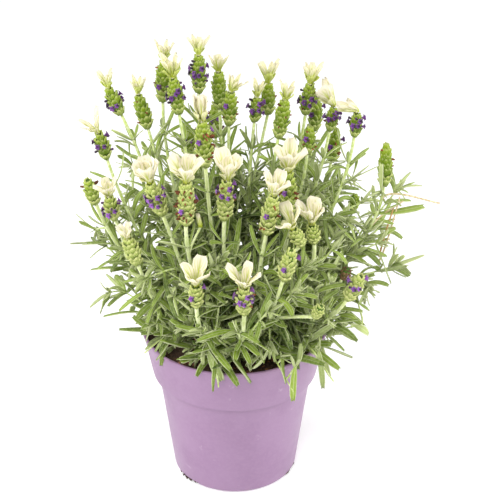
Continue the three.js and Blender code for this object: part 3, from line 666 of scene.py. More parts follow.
forks = {
    "03": newHead("04", (-92, -36, 252), (-95, -39, 272), 16, 3, 0.3),
    "14": newHead("15", (27, 76, 287), (27, 80, 311), 20),
    "21": newHead("39", (97, 60, 206), (99, 62, 220)),
    "27": newHead("29", (52, -58, 241), (45, -62, 257), 20),
    "31": newHead("36", (62, -80, 190), (67, -83, 202)),
    "35": newHead("38", (86, -22, 190), (90, -24, 200)),
}
stems = [
    newHead("01", (-88, 20, 314), (-97, 22, 334), 14, 3, 0.35, lean=(0.2, 0, 0)),
    newHead("02", (-99, 0, 286), (-104, -1, 307), 16, 3, 0.7, lean=(-0.3, 0, 0)),
    newHead("03", (-108, -14, 254), (-113, -17, 275), shoots=[(-104, 3, 207)]),
    newHead("05", (-69, 45, 290), (-76, 48, 316), 14, lean=(0.35, 0, 0)),
    newHead("06", (-57, 60, 306), (-56, 64, 338), 17, 1, 0.3),
    newHead("07", (-43, 24, 313), (-47, 26, 341), 21, 4, 0.4),
    newHead("08", (-28, 50, 319), (-28, 53, 348), 17, 6, 0.4),
    newHead("09", (-12, 76, 292), (-13, 80, 321), 16),
    newHead("10", (-4, 34, 298), (-3, 36, 324), 15, 1, 0.7, lean=(0.35, 0, 0)),
    newHead("11", (-22, -10, 284), (-24, -12, 322), 25, 2, 0.6),
    newHead("12", (-38, 84, 244), (-38, 89, 268), 0, 3, 0.6, shoots=[(-72, 92, 186)]),
    newHead("13", (-16, 104, 252), (-17, 110, 276), 0, 3, 0.5, shoots=[(14, 118, 178)]),
    newHead("14", (16, 48, 294), (18, 50, 313), 14, 4, 0.4),
    newHead("16", (35, 28, 290), (40, 30, 320), 17),
    newHead("17", (57, 58, 296), (60, 61, 319), 18, 4, 0.45),
    newHead("18", (65, 92, 264), (67, 98, 292), 0, 2, 0.5, shoots=[(84, 104, 172)]),
    newHead("19", (58, 26, 277), (60, 28, 298), 0, 1, 0.6),
    newHead("20", (76, 44, 288), (79, 48, 305), 21, 5, 0.35, lean=(-0.55, 0, 0)),
    newHead("21", (79, 70, 247), (83, 74, 273), 0, 2, 0.5),
    newHead("22", (95, 32, 289), (97, 34, 307), 11, 4, 0.6, lean=(-0.5, 0, 0)),
    newHead("23", (118, 8, 258), (119, 10, 292), shoots=[(128, -6, 192), (130, 12, 252)]),
    newHead("24", (-54, -54, 266), (-62, -58, 294), 21, 6, 0.45),
    newHead("25", (-36, -62, 262), (-35, -66, 298), 24, 2, 0.3),
    newHead("26", (-7, -50, 260), (-5, -53, 293), 22, 4, 0.75),
    newHead("27", (25, -60, 253), (30, -64, 286), 19, 1, 0.6),
    newHead("28", (43, -20, 248), (42, -22, 284), 23, 1, 0.5),
    newHead("30", (62, -42, 234), (60, -45, 251), 21),
    newHead("31", (38, -76, 222), (44, -80, 249), 0, 2, 0.55, shoots=[(46, -90, 128)]),
    newHead("32", (-28, -96, 210), (-28, -101, 230), 19, 2, 0.8, shoots=[(-12, -90, 132)]),
    newHead("33", (8, -100, 206), (8, -105, 230), 20, 5, 0.6),
    newHead("34", (-74, -60, 226), (-80, -64, 249), 12, shoots=[(-88, -32, 184), (-70, -66, 148)]),
    newHead("35", (88, -64, 197), (97, -70, 220), 0, 3, 0.75, shoots=[(102, -38, 156), (78, -76, 128)]),
]
straws = {"23": [(134, 10, 242), (163, 10, 240)]}  # tips of the dry leafless shoots of a stem

drawn = 41


def between(low, high):
    global drawn
    drawn = drawn * 48271 % 2147483647
    return low + (high - low) * drawn / 2147483647


up = np.array([0.0, 0.0, 1.0])
ahead = np.array([1.0, 0.0, 0.0])


def mix(a, b, share):
    return a + (b - a) * share


def unit(direction):
    return direction / math.sqrt(direction.dot(direction))


def crossed(a, b):
    return np.array([a[1] * b[2] - a[2] * b[1], a[2] * b[0] - a[0] * b[2], a[0] * b[1] - a[1] * b[0]])


def squareTo(axis, direction):
    return unit(direction - axis * axis.dot(direction))


def distance(a, b):
    return math.sqrt((a - b).dot(a - b))


# The direction at an angle from "low" towards "high".
def turned(low, high, angle):
    return low * math.cos(angle) + high * math.sin(angle)


def pointOn(curve, t):
    k = 1 - t
    return k**3 * curve[0] + 3 * k * k * t * curve[1] + 3 * k * t * t * curve[2] + t**3 * curve[3]


def directionOn(curve, t):
    return unit(pointOn(curve, min(1, t + 1e-4)) - pointOn(curve, max(0, t - 1e-4)))


def pointsOn(curve, count):
    return [pointOn(curve, i / count) for i in range(count + 1)]


def chordLength(curve):
    points = pointsOn(curve, stem["steps"])
    return sum(distance(a, b) for a, b in zip(points, points[1:]))


def stemCurve(root, foot, top):
    reach = distance(root, foot)
    rise = mix(root, foot, stem["rise"]) + up * stem["lift"] * reach
    return root, rise, foot - unit(top - foot) * stem["approach"] * reach, foot


def shootCurve(start, along, tip):
    reach = distance(start, tip)
    bend = mix(start, tip, shoot["bend"]) + up * shoot["lift"] * reach
    return start, start + along * shoot["start"] * reach, bend, tip


# Every placed stretch: its two ends, its radius and the number of the piece that owns it.
mostStretches = 9000
taken = {"lines": np.zeros((mostStretches, 7)), "owners": np.zeros(mostStretches, int), "count": 0}
ownerNumbers = {}


def take(owner, points, radius):
    number = ownerNumbers.setdefault(owner, len(ownerNumbers))
    for a, b in zip(points, points[1:]):
        taken["lines"][taken["count"]] = (*a, *b, radius)
        taken["owners"][taken["count"]] = number
        taken["count"] += 1
    return taken["count"] - 1


def ownStretches(owner):
    return taken["owners"][: taken["count"]] == ownerNumbers.setdefault(owner, len(ownerNumbers))


# True if a line through the points stays clear of the chosen stretches.
def isClear(points, radius, chosen):
    lines = taken["lines"][: taken["count"]][chosen]
    r, v, girth = lines[:, :3], lines[:, 3:6] - lines[:, :3], lines[:, 6]
    c = (v * v).sum(axis=1)
    for p, q in zip(points, points[1:]):
        u, w = q - p, p - r
        a, b, d, e = u.dot(u), v @ u, w @ u, (v * w).sum(axis=1)
        slope = a * c - b * b
        safe = np.where(slope > 1e-9, slope, 1)
        along = np.where(slope > 1e-9, np.clip((b * e - c * d) / safe, 0, 1), 0)
        across = np.clip((b * along + e) / c, 0, 1)
        along = np.clip((b * across - d) / a, 0, 1)
        apart = (p + u * along[:, None]) - (r + v * across[:, None])
        if (np.sqrt((apart * apart).sum(axis=1)) <= radius + girth + leaf["clearance"]).any():
            return False
    return True


# The room over the soil, inside the rim, over it and beyond it.
def isClearOfPot(points, radius):
    for x, y, z in points:
        out = math.hypot(x, y)
        overRim = z > pot["height"] + radius + 1
        inside = out < pot["rimRadius"] - 6 and z > soil["height"] + soil["roughness"] + radius + 1
        if not (overRim or inside or out > pot["rimRadius"] + radius + 2):
            return False
    return True


def growPlant(entry):
    owner, fork = "stem_" + entry["name"], forks.get(entry["name"])
    root = entry["foot"] * stem["gather"]
    root[2] = soil["height"] - stem["rootDepth"]
    main = {"curve": stemCurve(root, entry["foot"], entry["top"]), "head": entry}

    def branch(share, tip, head=None, isStraw=False):
        start, along = pointOn(main["curve"], share), directionOn(main["curve"], share)
        return {"curve": shootCurve(start, along, np.array(tip, float)), "head": head, "isStraw": isStraw}

    shares = [stem["shootShare"] + stem["shootStep"] * i for i in range(2)]
    branches = [branch(share, tip) for share, tip in zip(shares, entry.get("shoots", []))]
    shares = [stem["strawShare"] + stem["strawStep"] * i for i in range(2)]
    tips = straws.get(entry["name"], [])
    branches += [branch(share, tip, isStraw=True) for share, tip in zip(shares, tips)]
    if fork:
        branches.append(branch(stem["forkShare"], fork["foot"], fork))
    take(owner, pointsOn(main["curve"], stem["steps"]), stem["halfDiagonal"])
    for one in branches:
        take(owner, pointsOn(one["curve"], shoot["steps"]), shoot["halfDiagonal"])
    heads = [entry, fork] if fork else [entry]
    for head in heads:
        room = spike["radius"] + floret["length"] if head["florets"] else spike["radius"] * spike["scaleOut"]
        head["stretch"] = take(owner, [head["foot"], head["top"]], room)
    return {"owner": owner, "main": main, "heads": heads, "branches": branches, "stalks": [main, *branches]}


# The four main bracts of a crown, each kept clear of its neighbours.
def placeBracts(head):
    owner = "bracts_" + head["name"]
    upright = unit(head["top"] - head["foot"])
    axis = unit(upright + np.array(head.get("lean", (0, 0, 0)), float))
    turn = between(0, 1.57)
    flat = squareTo(axis, ahead)
    side = turned(flat, crossed(axis, flat), turn)
    front = crossed(axis, side)
    tilt = math.acos(min(1, upright.dot(axis)))
    seat = head["top"] + upright * (bract["seat"] + bract["hubRadius"] * tilt)
    middle = seat + axis * bract["hubHeight"] / 2
    width = bract["width"] * min(1, head["bracts"] / bract["fullLength"])
    placed = []
    for k in range(4):
        out = turned(side, front, math.pi / 2 * (k + 0.5))
        centre = middle + out * bract["hubRadius"] * math.cos(math.pi / 4)
        for _ in range(bract["tries"]):
            outward = unit(out + crossed(axis, out) * between(-bract["swing"], bract["swing"]))
            reach, spread = head["bracts"] * between(*bract["reach"]), between(*bract["spread"])
            heading = turned(axis, outward, spread)
            curl = outward * bract["curl"] * reach
            span = [centre + heading * share * reach + curl * share**2 for share in bract["stations"]]
            others = ~ownStretches(owner)
            others[head["stretch"]] = False
            if isClear(span, width * 0.45, others):
                take(owner, span, width * 0.4)
                placed.append({"centre": centre, "heading": heading, "outward": outward, "reach": reach})
                break
    return {"owner": owner, "head": head, "axis": axis, "side": side, "seat": seat, "bracts": placed}


# One leaf from a side of its stem, bent another way if it would touch a neighbour.
def placeLeaf(owner, start, along, out, length, isLong):
    radius = leaf["width"] / 2
    for _ in range(leaf["tries"]):
        outward = unit(out + crossed(along, out) * between(-leaf["swing"], leaf["swing"]))
        reach, tilt, sag = length * between(*leaf["stretch"]), between(*leaf["tilt"]), between(*leaf["sag"])
        heading, drop = turned(along, outward, tilt), up * sag * reach
        stations = leaf["longStations" if isLong else "shortStations"]
        centres = [start + heading * share * reach - drop * share * share for share in stations]
        outer = [mix(start, centres[1], 0.7), *centres[1:]]
        inner = [mix(start, centres[1], 0.35), outer[0]]
        own = ownStretches(owner)
        free = isClearOfPot(outer, radius) and isClear(outer, radius, ~own)
        free = free and isClear(inner, leaf["footRadius"], ~own)
        if free and isClear(outer[0 if reach > leaf["axilLength"] else 1 :], radius, own):
            take(owner, outer, radius)
            bow = -up * sag * reach
            return {"start": start, "reach": heading * reach, "bow": bow, "along": along, "isLong": isLong}
    return None


def whorlPlaces(low, high):
    count = max(0, math.floor((high - low) / leaf["spacing"])) + 1
    return [low + i * (high - low) / max(1, count - 1) for i in range(count)]


# The sections of a stalk and the leaves of its whorls.
def placeLeaves(owner, stalk, halfDiagonal, low, bareEnd, isRooted=False):
    curve, foot = stalk["curve"], leaf["foot"]
    length = chordLength(curve)
    sections = [(0, False)] + ([(stem["straight"], False)] if isRooted else [])
    for place in [*whorlPlaces(low, length - bareEnd), length + foot]:
        last = sections[-1][0]
        plain = math.floor((place - last) / stem["longestStretch"])
        sections += [(last + (place - last) * (i + 1) / (plain + 1), False) for i in range(plain)]
        if place < length:
            sections.append((place - foot, True))
        sections.append((min(place + foot, length), False))
    side, rings = ahead, []
    for place, _ in sections:
        axis, middle = directionOn(curve, place / length), pointOn(curve, place / length)
        side = squareTo(axis, side)
        front = crossed(axis, side)
        corners = [(math.cos(math.pi / 2 * k), math.sin(math.pi / 2 * k)) for k in range(4)]
        rings.append([middle + side * halfDiagonal * c + front * halfDiagonal * s for c, s in corners])
    stalk["leaves"], stalk["endSide"] = [], side
    for i, ((place, isWhorl), low, high) in enumerate(zip(sections, rings, rings[1:])):
        size = leaf["lowestSize"] - leaf["shrink"] * place / length
        axis = directionOn(curve, place / length)
        for k in range(4 if isWhorl else 0):
            corners = low[k], low[(k + 1) % 4], high[(k + 1) % 4], high[k]
            centre = sum(corner * 0.25 for corner in corners)
            out = squareTo(axis, centre - pointOn(curve, place / length))
            isLong = (k + i) % 2 == 0
            reach = size * leaf["length" if isLong else "axilLength"]
            placed = placeLeaf(owner, centre, axis, out, reach, isLong)
            stalk["leaves"] += [placed] if placed else []


plants = [growPlant(entry) for entry in stems]
crowns = [placeBracts(head) for plant in plants for head in plant["heads"] if head["bracts"] > 0]
for plant in plants:
    for branch in plant["branches"]:
        if not branch["isStraw"]:
            bareEnd = leaf["bareBelowSpike" if branch["head"] else "bareAtTip"]
            placeLeaves(plant["owner"], branch, shoot["halfDiagonal"], leaf["bareOnShoot"], bareEnd)
    lowest = stem["rootDepth"] + leaf["bareAboveSoil"]
    placeLeaves(plant["owner"], plant["main"], stem["halfDiagonal"], lowest, leaf["bareBelowSpike"], True)
leafCount = sum(len(stalk.get("leaves", [])) for plant in plants for stalk in plant["stalks"])
bractCount = sum(len(crown["bracts"]) for crown in crowns)
print("skeleton grown:", leafCount, "leaves and", bractCount, "bracts as in the solids")


# Dressing the stems: finer copies of the solids' own leaves and flowers, and the many smaller
# leaves, side shoots and scales that the solids leave out

growth = {
    "seed": 11,
    "nodeSpacing": 16,  # between the leaf pairs of a stem
    "shootSpacing": 14.5,
    "lowest": 136,  # heights between which leaves turn from long and broad to short and narrow
    "highest": 255,
    "lowLeaf": (26, 5.8),  # length and width
    "highLeaf": (25, 3.2),
    "slimBelow": 3.3,  # width below which a leaf has the slim shape
    "shoots": 6,  # extra leafy side shoots of each stem
    "moreShoots": 3,  # and this many more to the right of a place, and fewer to the left of another
    "moreFrom": 50,
    "fewerFrom": -60,
    "shootTurn": 1.6,  # how far a shoot swings from straight outwards, to either side
    "shootOut": (14, 38),
    "shootRise": (14, 54),
    "bareBelowSpike": (50, 32),  # on the stems of the front, and further back
    "canopy": (240, 252),  # no added shoot ends higher, in front and further back
    "backFrom": 15,  # where "further back" starts
    "middle": 4,  # where the middle of the plant is, along x
    "spread": 66,  # how far from it the added shoots' leaves may reach at the height of the rim
    "ownSpread": 76,  # and the leaves that are added to the solids' own stalks
    "waywardness": 0.34,  # how far a leaf bows aside, as a share of its length
    "tries": 4,
}
dice = random.Random(growth["seed"])


# The flowers, that no leaf of the dressing may cross.
bloomOwners = [number for owner, number in ownerNumbers.items() if owner.startswith("bracts_")]
blooms = np.isin(taken["owners"][: taken["count"]], bloomOwners)
for plant in plants:
    for head in plant["heads"]:
        blooms[head["stretch"]] = True
driedView = (88, -24, 196, 88, -64, 219, 6)  # a line and its radius: no leaf hides the dried head
bloomLines = np.vstack([taken["lines"][: taken["count"]][blooms], driedView])
taken = {"lines": bloomLines, "owners": np.zeros(len(bloomLines), int), "count": len(bloomLines)}
everyBloom = np.ones(len(bloomLines), bool)


# 1 for a place far back in the plant, and 0 elsewhere.
def isBack(place):
    return int(place[1] > growth["backFrom"])


def leafSize(height):
    share = min(1, max(0, (height - growth["lowest"]) / (growth["highest"] - growth["lowest"])))
    return [low + (high - low) * share for low, high in zip(growth["lowLeaf"], growth["highLeaf"])]


# Leaves are lighter towards the outside of the plant and towards its top; the darker leaves near the middle
# are painted shade of the plant's crowded interior.
def leafTintAndInnerShade(place):
    outside = min(1, math.hypot(place[0] - growth["middle"], place[1]) / 75)
    return min(1, max(0, dice.gauss(0.06 + 0.43 * outside + 0.3 * (place[2] - 140) / 120, 0.22)))


def layStalk(bundle, curve, lowRadius, highRadius, paint="stalk", tint=0.5):
    shape = shapes["stalk"]
    side, rings = ahead, []
    for i in range(stalkRings + 1):
        axis = directionOn(curve, i / stalkRings)
        side = squareTo(axis, side)
        rings.append((pointOn(curve, i / stalkRings), side, crossed(side, axis)))
    x, y, z = (shape["points"][:, i : i + 1] for i in range(3))
    rows = np.rint(shape["points"][:, 1] * stalkRings).astype(int)
    middle, sides, fronts = (np.array(rings)[rows, i] for i in range(3))
    radius = lowRadius + (highRadius - lowRadius) * y
    addCopy(bundle, shape, middle + (sides * x + fronts * z) * radius, paint, tint)


# A leaf's upper face looks up and, where the leaf stands up, towards its stem.
def layLeaf(bundle, start, reach, axis, width, bow, pale=0.0):
    name = "leaf" if width > growth["slimBelow"] else "slimLeaf"
    twist, length = dice.uniform(-0.8, 0.8), math.sqrt(reach.dot(reach))
    tumble = np.array([dice.uniform(-1, 1) for _ in range(3)])
    bow = bow + tumble * growth["waywardness"] * length
    facing = up * 0.8 - squareTo(axis, reach) * 0.5 + axis * 0.2 + tumble * 0.6
    # painted side light: leaves grow paler towards the plant's left and right sides
    marks = {"tint": leafTintAndInnerShade(start), "pale": min(1, pale + 0.18 * abs(start[0]) / 100)}
    paints = ("leafTop", "leafUnder")
    layCopy(bundle, name, start, reach, facing, width, paints, bow, twist=twist, **marks)


# Whether points stay within the plant's outline, which widens upwards from the rim.
def isInside(points, spread):
    reaches = [spread + max(0, point[2] - pot["height"]) for point in points]
    aside = [math.hypot(point[0] - growth["middle"], point[1]) for point in points]
    return all(out < reach for out, reach in zip(aside, reaches))


# One more leaf from a stalk's side. It is left out where flowers or the pot are in its way.
def tryLeaf(bundle, place, out, radius, length, width, tilts=(0.3, 1.25), pale=0.0, isOwn=True):
    middle, axis = place
    for _ in range(growth["tries"]):
        outward = unit(out + crossed(axis, out) * dice.uniform(-0.8, 0.8))
        reach = turned(axis, outward, dice.uniform(*tilts)) * length * dice.uniform(0.75, 1.15)
        bow = up * dice.uniform(-0.55, 0.2) * length + outward * dice.uniform(0, 0.12) * length
        start = middle + outward * radius * 0.5
        line = [start + reach * 0.3, start + reach * 0.65 + bow * 0.42, start + reach + bow]
        isFree = isInside(line[2:], growth["ownSpread" if isOwn else "spread"])
        if isFree and isClearOfPot(line, width / 3) and isClear(line, width / 3, everyBloom):
            layLeaf(bundle, start, reach, axis, width, bow, pale)
            return


# A pair of leaves with a tuft of short ones in each axil.
def dressNode(bundle, curve, share, turn, radius, scale, isOwn):
    place = middle, axis = pointOn(curve, share), directionOn(curve, share)
    side = squareTo(axis, ahead)
    length, width = (size * scale for size in leafSize(middle[2]))
    for half in (0, math.pi):
        out = turned(side, crossed(axis, side), turn + half)
        tryLeaf(bundle, place, out, radius, length, width, isOwn=isOwn)
        for _ in range(dice.choice((0, 1, 1, 2))):
            small, pale = dice.uniform(0.3, 0.55), dice.uniform(0, 0.55)
            size = length * small, width * (small + 0.12)
            tryLeaf(bundle, place, out, radius, *size, (0.25, 0.9), pale, isOwn)


def dressStalk(bundle, curve, radius, low, high, spacing, scale=1.0, isOwn=True):
    count, turn = max(1, round((high - low) / spacing)), dice.uniform(0, math.pi)
    for i in range(count + 1):
        share = min(1, (low + (high - low) * i / count) / chordLength(curve))
        dressNode(bundle, curve, share, turn, radius, scale * dice.uniform(0.85, 1.1), isOwn)
        turn += math.pi / 2 + dice.uniform(-0.3, 0.3)


def dressTip(bundle, curve, radius, scale):
    tip, axis = pointOn(curve, 1), directionOn(curve, 1)
    side = squareTo(axis, ahead)
    length, width = leafSize(tip[2])
    for i in range(6):
        out = turned(side, crossed(axis, side), i * 1.05)
        size, pale = scale * dice.uniform(0.3, 0.75), dice.uniform(0.3, 0.9)
        place = tip - axis, axis
        tryLeaf(bundle, place, out, radius, length * size, width * (size + 0.1), (0.1, 0.95), pale)


# Leafy side shoots, leaning out from the middle of the plant. The right side has more of them.
def addShoots(bundle, plant):
    main = plant["main"]["curve"]
    across = main[3][0]
    side = int(across > growth["moreFrom"]) - int(across < growth["fewerFrom"])
    count = growth["shoots"] + side * growth["moreShoots"]
    for i in range(count):
        share = 0.1 + 0.5 * (i + dice.random()) / count
        start, along = pointOn(main, share), directionOn(main, share)
        turn = dice.uniform(-growth["shootTurn"], growth["shootTurn"])
        outward = turned(ahead, crossed(up, ahead), math.atan2(start[1], start[0]) + turn)
        tip = start + outward * dice.uniform(*growth["shootOut"]) + along * 10
        tip = tip + up * dice.uniform(*growth["shootRise"])
        tip[2] = min(tip[2], growth["canopy"][isBack(main[3])] - 0.25 * math.hypot(tip[0], tip[1]))
        curve = shootCurve(start, unit(along + outward * 0.5), tip)
        points = pointsOn(curve, 4)
        isFree = isInside(points[3:], growth["spread"]) and isClear(points, 2, everyBloom)
        if isFree and isClearOfPot(points[2:], 2):
            layStalk(bundle, curve, 1.1, 0.7, tint=0.35)
            end = chordLength(curve) - 3
            dressStalk(bundle, curve, 0.9, 8, end, growth["shootSpacing"], 0.85, False)
            dressTip(bundle, curve, 0.6, 0.9)


# Flower spikes: rows of woolly scales over a green core, with open and faded florets between them

spikeFinish = {
    "row": 4.3,  # height of one row of scales
    "scales": 8,  # in a row
    "scaleLength": 7.2,
    "scaleWidth": 5.7,
    "scaleSize": (0.86, 1.1),
    "scaleRoot": 1.5,  # how deep its foot is under the row below
    "lean": 0.46,  # how far a scale at the foot leans out, and how much less one at the top does:
    "leanLoss": (0.66, 0.42),  # without a crown, and with one
    "fullLength": 24,  # spikes shorter than this have smaller scales
    "woollyAt": 105,  # how far in front of the middle a spike is woolly all over
    "lowPale": (0.5, 0.8),  # of the lowest scales at the back, and in front
    "lowTint": (0.36, 0.52),
    "floretSize": 5.6,
    "floretReach": 4.6,
    "floretTint": ((0, 0.45), (0.4, 1)),  # at the back, and in front
    "shredSize": (1.0, 1.4),
    "bulge": (0.9, 1.04),  # the open ones in front are fuller
    "florets": 2,  # with more florets than this, a spike has younger ones round them
    "driedHead": "38",
}
# how many shreds of faded florets hang on a spike
rust = {
    "11": 16, "21": 12, "25": 26, "17": 8, "28": 10, "26": 8, "13": 10, "16": 9, "20": 5, "23": 6,
    "06": 9, "10": 8, "12": 6, "14": 4, "15": 5, "19": 10, "27": 6, "33": 5, "03": 4, "05": 3,
}


# 1 for the heads in front of the plant's middle, and 0 for the others.
def isInFront(head):
    return int(head["foot"][1] < 0)


def girthAt(head, share):
    bulge = spikeFinish["bulge"][isInFront(head)]
    girth = min(1, spike["slimmest"] + distance(head["foot"], head["top"]) / spike["gain"])
    narrowing = spike["roundness"] * (spike["taper"] * share - spike["middle"]) ** 2
    return bulge * spike["radius"] * girth * math.sqrt(1 - narrowing)


def dressSpike(bundle, head, endSide):
    foot, axis = head["foot"], unit(head["top"] - head["foot"])
    length = distance(foot, head["top"])
    side = squareTo(axis, endSide)
    front = crossed(axis, side)
    paint = "husk" if head["name"] == spikeFinish["driedHead"] else "scale"

    def spot(angle, share, lift=1.0):
        out, height = turned(side, front, angle), share * (length - spike["endRoom"])
        return foot + axis * (spike["footRoom"] + height) + out * girthAt(head, share) * lift, out

    widest = girthAt(head, 0.45)
    layCopy(bundle, "core", foot, axis * length, side, widest * 0.9, "core", tint=0.3)
    lowPale, lowTint = (spikeFinish[key][isInFront(head)] for key in ("lowPale", "lowTint"))
    leanLoss = spikeFinish["leanLoss"][1 if head["bracts"] else 0]
    frontPale = min(0.6, max(0, -foot[1] / spikeFinish["woollyAt"]))
    young = min(1, 0.3 + 0.7 * length / spikeFinish["fullLength"])
    rows = max(3, round(length / spikeFinish["row"] / young))
    for row in range(rows):
        share = row / (rows - 0.4)
        girthShare = young * (0.62 + 0.38 * girthAt(head, share) / widest)
        for i in range(spikeFinish["scales"]):
            size = girthShare * dice.uniform(*spikeFinish["scaleSize"])
            turn = i + 0.5 * (row % 2) + dice.uniform(-0.12, 0.12)
            angle = 2 * math.pi * turn / spikeFinish["scales"]
            start, out = spot(angle, share + dice.uniform(-0.2, 0.2) / rows, 0.76)
            lean = spikeFinish["lean"] - leanLoss * share + dice.uniform(-0.06, 0.14)
            reach = turned(axis, out, lean) * spikeFinish["scaleLength"] * size
            pale = max(0, lowPale - share * 2 + dice.uniform(-0.1, 0.1)) + frontPale
            tint = lowTint + 0.5 * share * share + dice.uniform(-0.2, 0.2)
            root, width = start - axis * spikeFinish["scaleRoot"], spikeFinish["scaleWidth"] * size
            layCopy(bundle, "scale", root, reach, out, width, paint, tint=tint, pale=min(1, pale))
    dressFlorets(bundle, head, spot, axis, length)


def dressFlorets(bundle, head, spot, axis, length):
    rows = max(3, math.floor(length / spike["rowHeight"] + 0.5))
    ring = math.floor(head["at"] * (rows - 1) + 0.5)
    places = []  # angle, height, size and paint
    for i in range(head["florets"]):
        column = (floret["firstColumn"] + floret["columnStep"] * i) % spike["columns"]
        angle = 2 * math.pi * (column + 0.5) / spike["columns"]
        places.append((angle, (min(rows - 1, ring + i % 2) + 0.5) / rows, 1.0, "violet"))
        if head["florets"] > spikeFinish["florets"]:  # a few younger ones round each main one
            turn, height = angle + dice.uniform(0.4, 0.8), (ring + dice.uniform(0.1, 1.2)) / rows
            places.append((turn, height, 0.8, "violet"))
            places.append((angle + dice.uniform(-0.9, 0.9), dice.uniform(0.25, 0.95), 0.72, "dusk"))
    for angle, share, size, paint in places:
        start, out = spot(angle, min(0.96, share), 0.75)
        heading = unit(out + axis * dice.uniform(-0.1, 0.35) + up * 0.1)
        reach = heading * spikeFinish["floretReach"] * (0.85 + 0.15 * size)
        tint = dice.uniform(*spikeFinish["floretTint"][isInFront(head)])
        name, width = "floret" if size > 0.75 else "bud", spikeFinish["floretSize"] * size
        layCopy(bundle, name, start, reach, axis, width, paint, tint=tint)
    grown = spikeFinish["shredSize"][isInFront(head)]
    for _ in range(rust.get(head["name"], 0)):
        start, out = spot(dice.uniform(0, 2 * math.pi), dice.uniform(0.12, 0.92))
        reach = unit(out + axis * dice.uniform(-0.3, 0.5)) * grown * dice.uniform(2, 3)
        width = grown * dice.uniform(2.4, 3.4)
        layCopy(bundle, "shred", start, reach, axis, width, "rust", tint=dice.random())


def dressStem(plant):
    bundle = newBundle()
    for stalk in plant["stalks"]:
        curve, head = stalk["curve"], stalk["head"]
        if stalk.get("isStraw"):
            layStalk(bundle, curve, stem["strawHalfDiagonal"], 0.7, "straw", dice.uniform(0, 0.3))
            continue
        isMain, isFront = stalk is plant["main"], head is not None and isInFront(head)
        radius = stem["halfDiagonal"] * 1.1 if isMain else shoot["halfDiagonal"]
        endRadius = (1.55 if isFront else 1.2) if head else 0.6
        layStalk(bundle, curve, radius, endRadius, tint=0.95 if isFront else 0.5)
        for one in stalk["leaves"]:  # the solids' own leaves
            width = leafSize(one["start"][2])[1] * (1.0 if one["isLong"] else 0.75)
            start = one["start"] - unit(one["reach"]) * 0.6
            layLeaf(bundle, start, one["reach"], one["along"], width, one["bow"])
        low = stem["rootDepth"] + 9 if isMain else 8
        high = chordLength(curve) - (growth["bareBelowSpike"][isBack(head["foot"])] if head else 3)
        if high > low:
            dressStalk(bundle, curve, radius, low, high, growth["nodeSpacing" if head else "shootSpacing"])
        if head:
            dressSpike(bundle, head, stalk["endSide"])
        else:
            dressTip(bundle, curve, 0.6, 1.0)
    addShoots(bundle, plant)
    return bundle


stemBundles = {plant["owner"]: dressStem(plant) for plant in plants}


# Sprigs with one leaf each that shows by itself, most of them over the front of the rim: where
# the leaf starts, where it ends and how wide it is
sprigs = [
    ((-12, -72, 153), (-19, -86, 132), 4.6), ((-22, -68, 158), (-11, -87, 130), 8),
    ((-2, -68, 150), (9, -86, 136), 9), ((28, -68, 160), (23, -84, 135), 7.2),
    ((38, -70, 147), (37, -84, 130), 5), ((48, -78, 143), (44, -88, 122), 5.6),
    ((66, -66, 151), (71, -78, 126), 4.4), ((-33, -50, 143), (-62, -58, 155), 7.4),
    ((-28, -60, 143), (-46, -75, 142), 6.2), ((-23, -60, 165), (-21, -74, 142), 5),
    ((-97, -42, 189), (-105, -45, 173), 4.4), ((-110, -2, 223), (-127, -4, 232), 3.8),
    ((-85, 10, 229), (-92, 12, 252), 4.4), ((-80, 12, 232), (-78, 14, 254), 4),
    ((-91, 8, 222), (-100, 6, 242), 4), ((-80, 34, 260), (-97, 36, 276), 4),
    ((-80, 34, 260), (-89, 34, 281), 3.4), ((92, 32, 249), (110, 32, 256), 3.2),
    ((94, 30, 252), (99, 30, 268), 3.2), ((116, 2, 254), (113, 0, 277), 4),
    ((104, -10, 178), (125, -12, 182), 3.6), ((106, -10, 174), (120, -12, 166), 3.4),
    ((99, -20, 166), (112, -24, 156), 4), ((70, -40, 138), (74, -42, 104), 4),
    ((84, -40, 163), (102, -44, 168), 4), ((90, -42, 161), (112, -44, 152), 5.5),
    ((80, -42, 166), (98, -46, 174), 4), ((78, -44, 158), (92, -50, 148), 4.4),
    ((72, -46, 154), (86, -54, 142), 4.4), ((-64, -50, 173), (-90, -60, 189), 5),
    ((110, 10, 231), (143, 4, 231), 6.4),
]


def nearestStalk(place):
    found = []
    for number, plant in enumerate(plants):
        for stalk in plant["stalks"]:
            for i in range(1, 20):
                point = pointOn(stalk["curve"], i / 20)
                found.append((distance(point, place), number, i, point, directionOn(stalk["curve"], i / 20)))
    _, number, _, point, along = min(found, key=lambda entry: entry[:3])
    return stemBundles[plants[number]["owner"]], point, along


for start, tip, width in sprigs:
    start, tip = np.array(start, float), np.array(tip, float)
    bundle, root, along = nearestStalk(start)
    curve = shootCurve(root, along, start)
    layStalk(bundle, curve, 0.9, 0.6, tint=0.4)
    layLeaf(bundle, start, tip - start + up * 4, up, width, -up * 4)
    dressTip(bundle, curve, 0.6, 0.8)

# A bud that is about to open, and two dry bent stalks
bud = {"from": (-25, -58, 257), "tip": (-27, -58, 268), "scales": 5, "width": 3.4}
dryStalks = [
    {"curve": [(115, 4, 188), (121, 5, 199), (126, 6, 225), (131, 8, 247)], "tint": 0.2},
    {"curve": [(116, 3, 195), (118, 3, 208), (122, 4, 224), (126, 5, 238)], "tint": 1.0},
]
start, tip = np.array(bud["from"], float), np.array(bud["tip"], float)
bundle, root, along = nearestStalk(start - up * 26)
layStalk(bundle, shootCurve(root, along, start), 1.0, 1.0, tint=0.9)
for i in range(bud["scales"]):
    out = turned(ahead, crossed(up, ahead), 2 * math.pi * i / bud["scales"])
    reach = tip - start + out * dice.uniform(-0.5, 1.5)
    layCopy(bundle, "scale", start + out * 1.3, reach, out, bud["width"], "bract", tint=0.9)
for stalk in dryStalks:
    curve = [np.array(point, float) for point in stalk["curve"]]
    layStalk(stemBundles["stem_23"], curve, 0.8, 0.6, "straw", stalk["tint"])

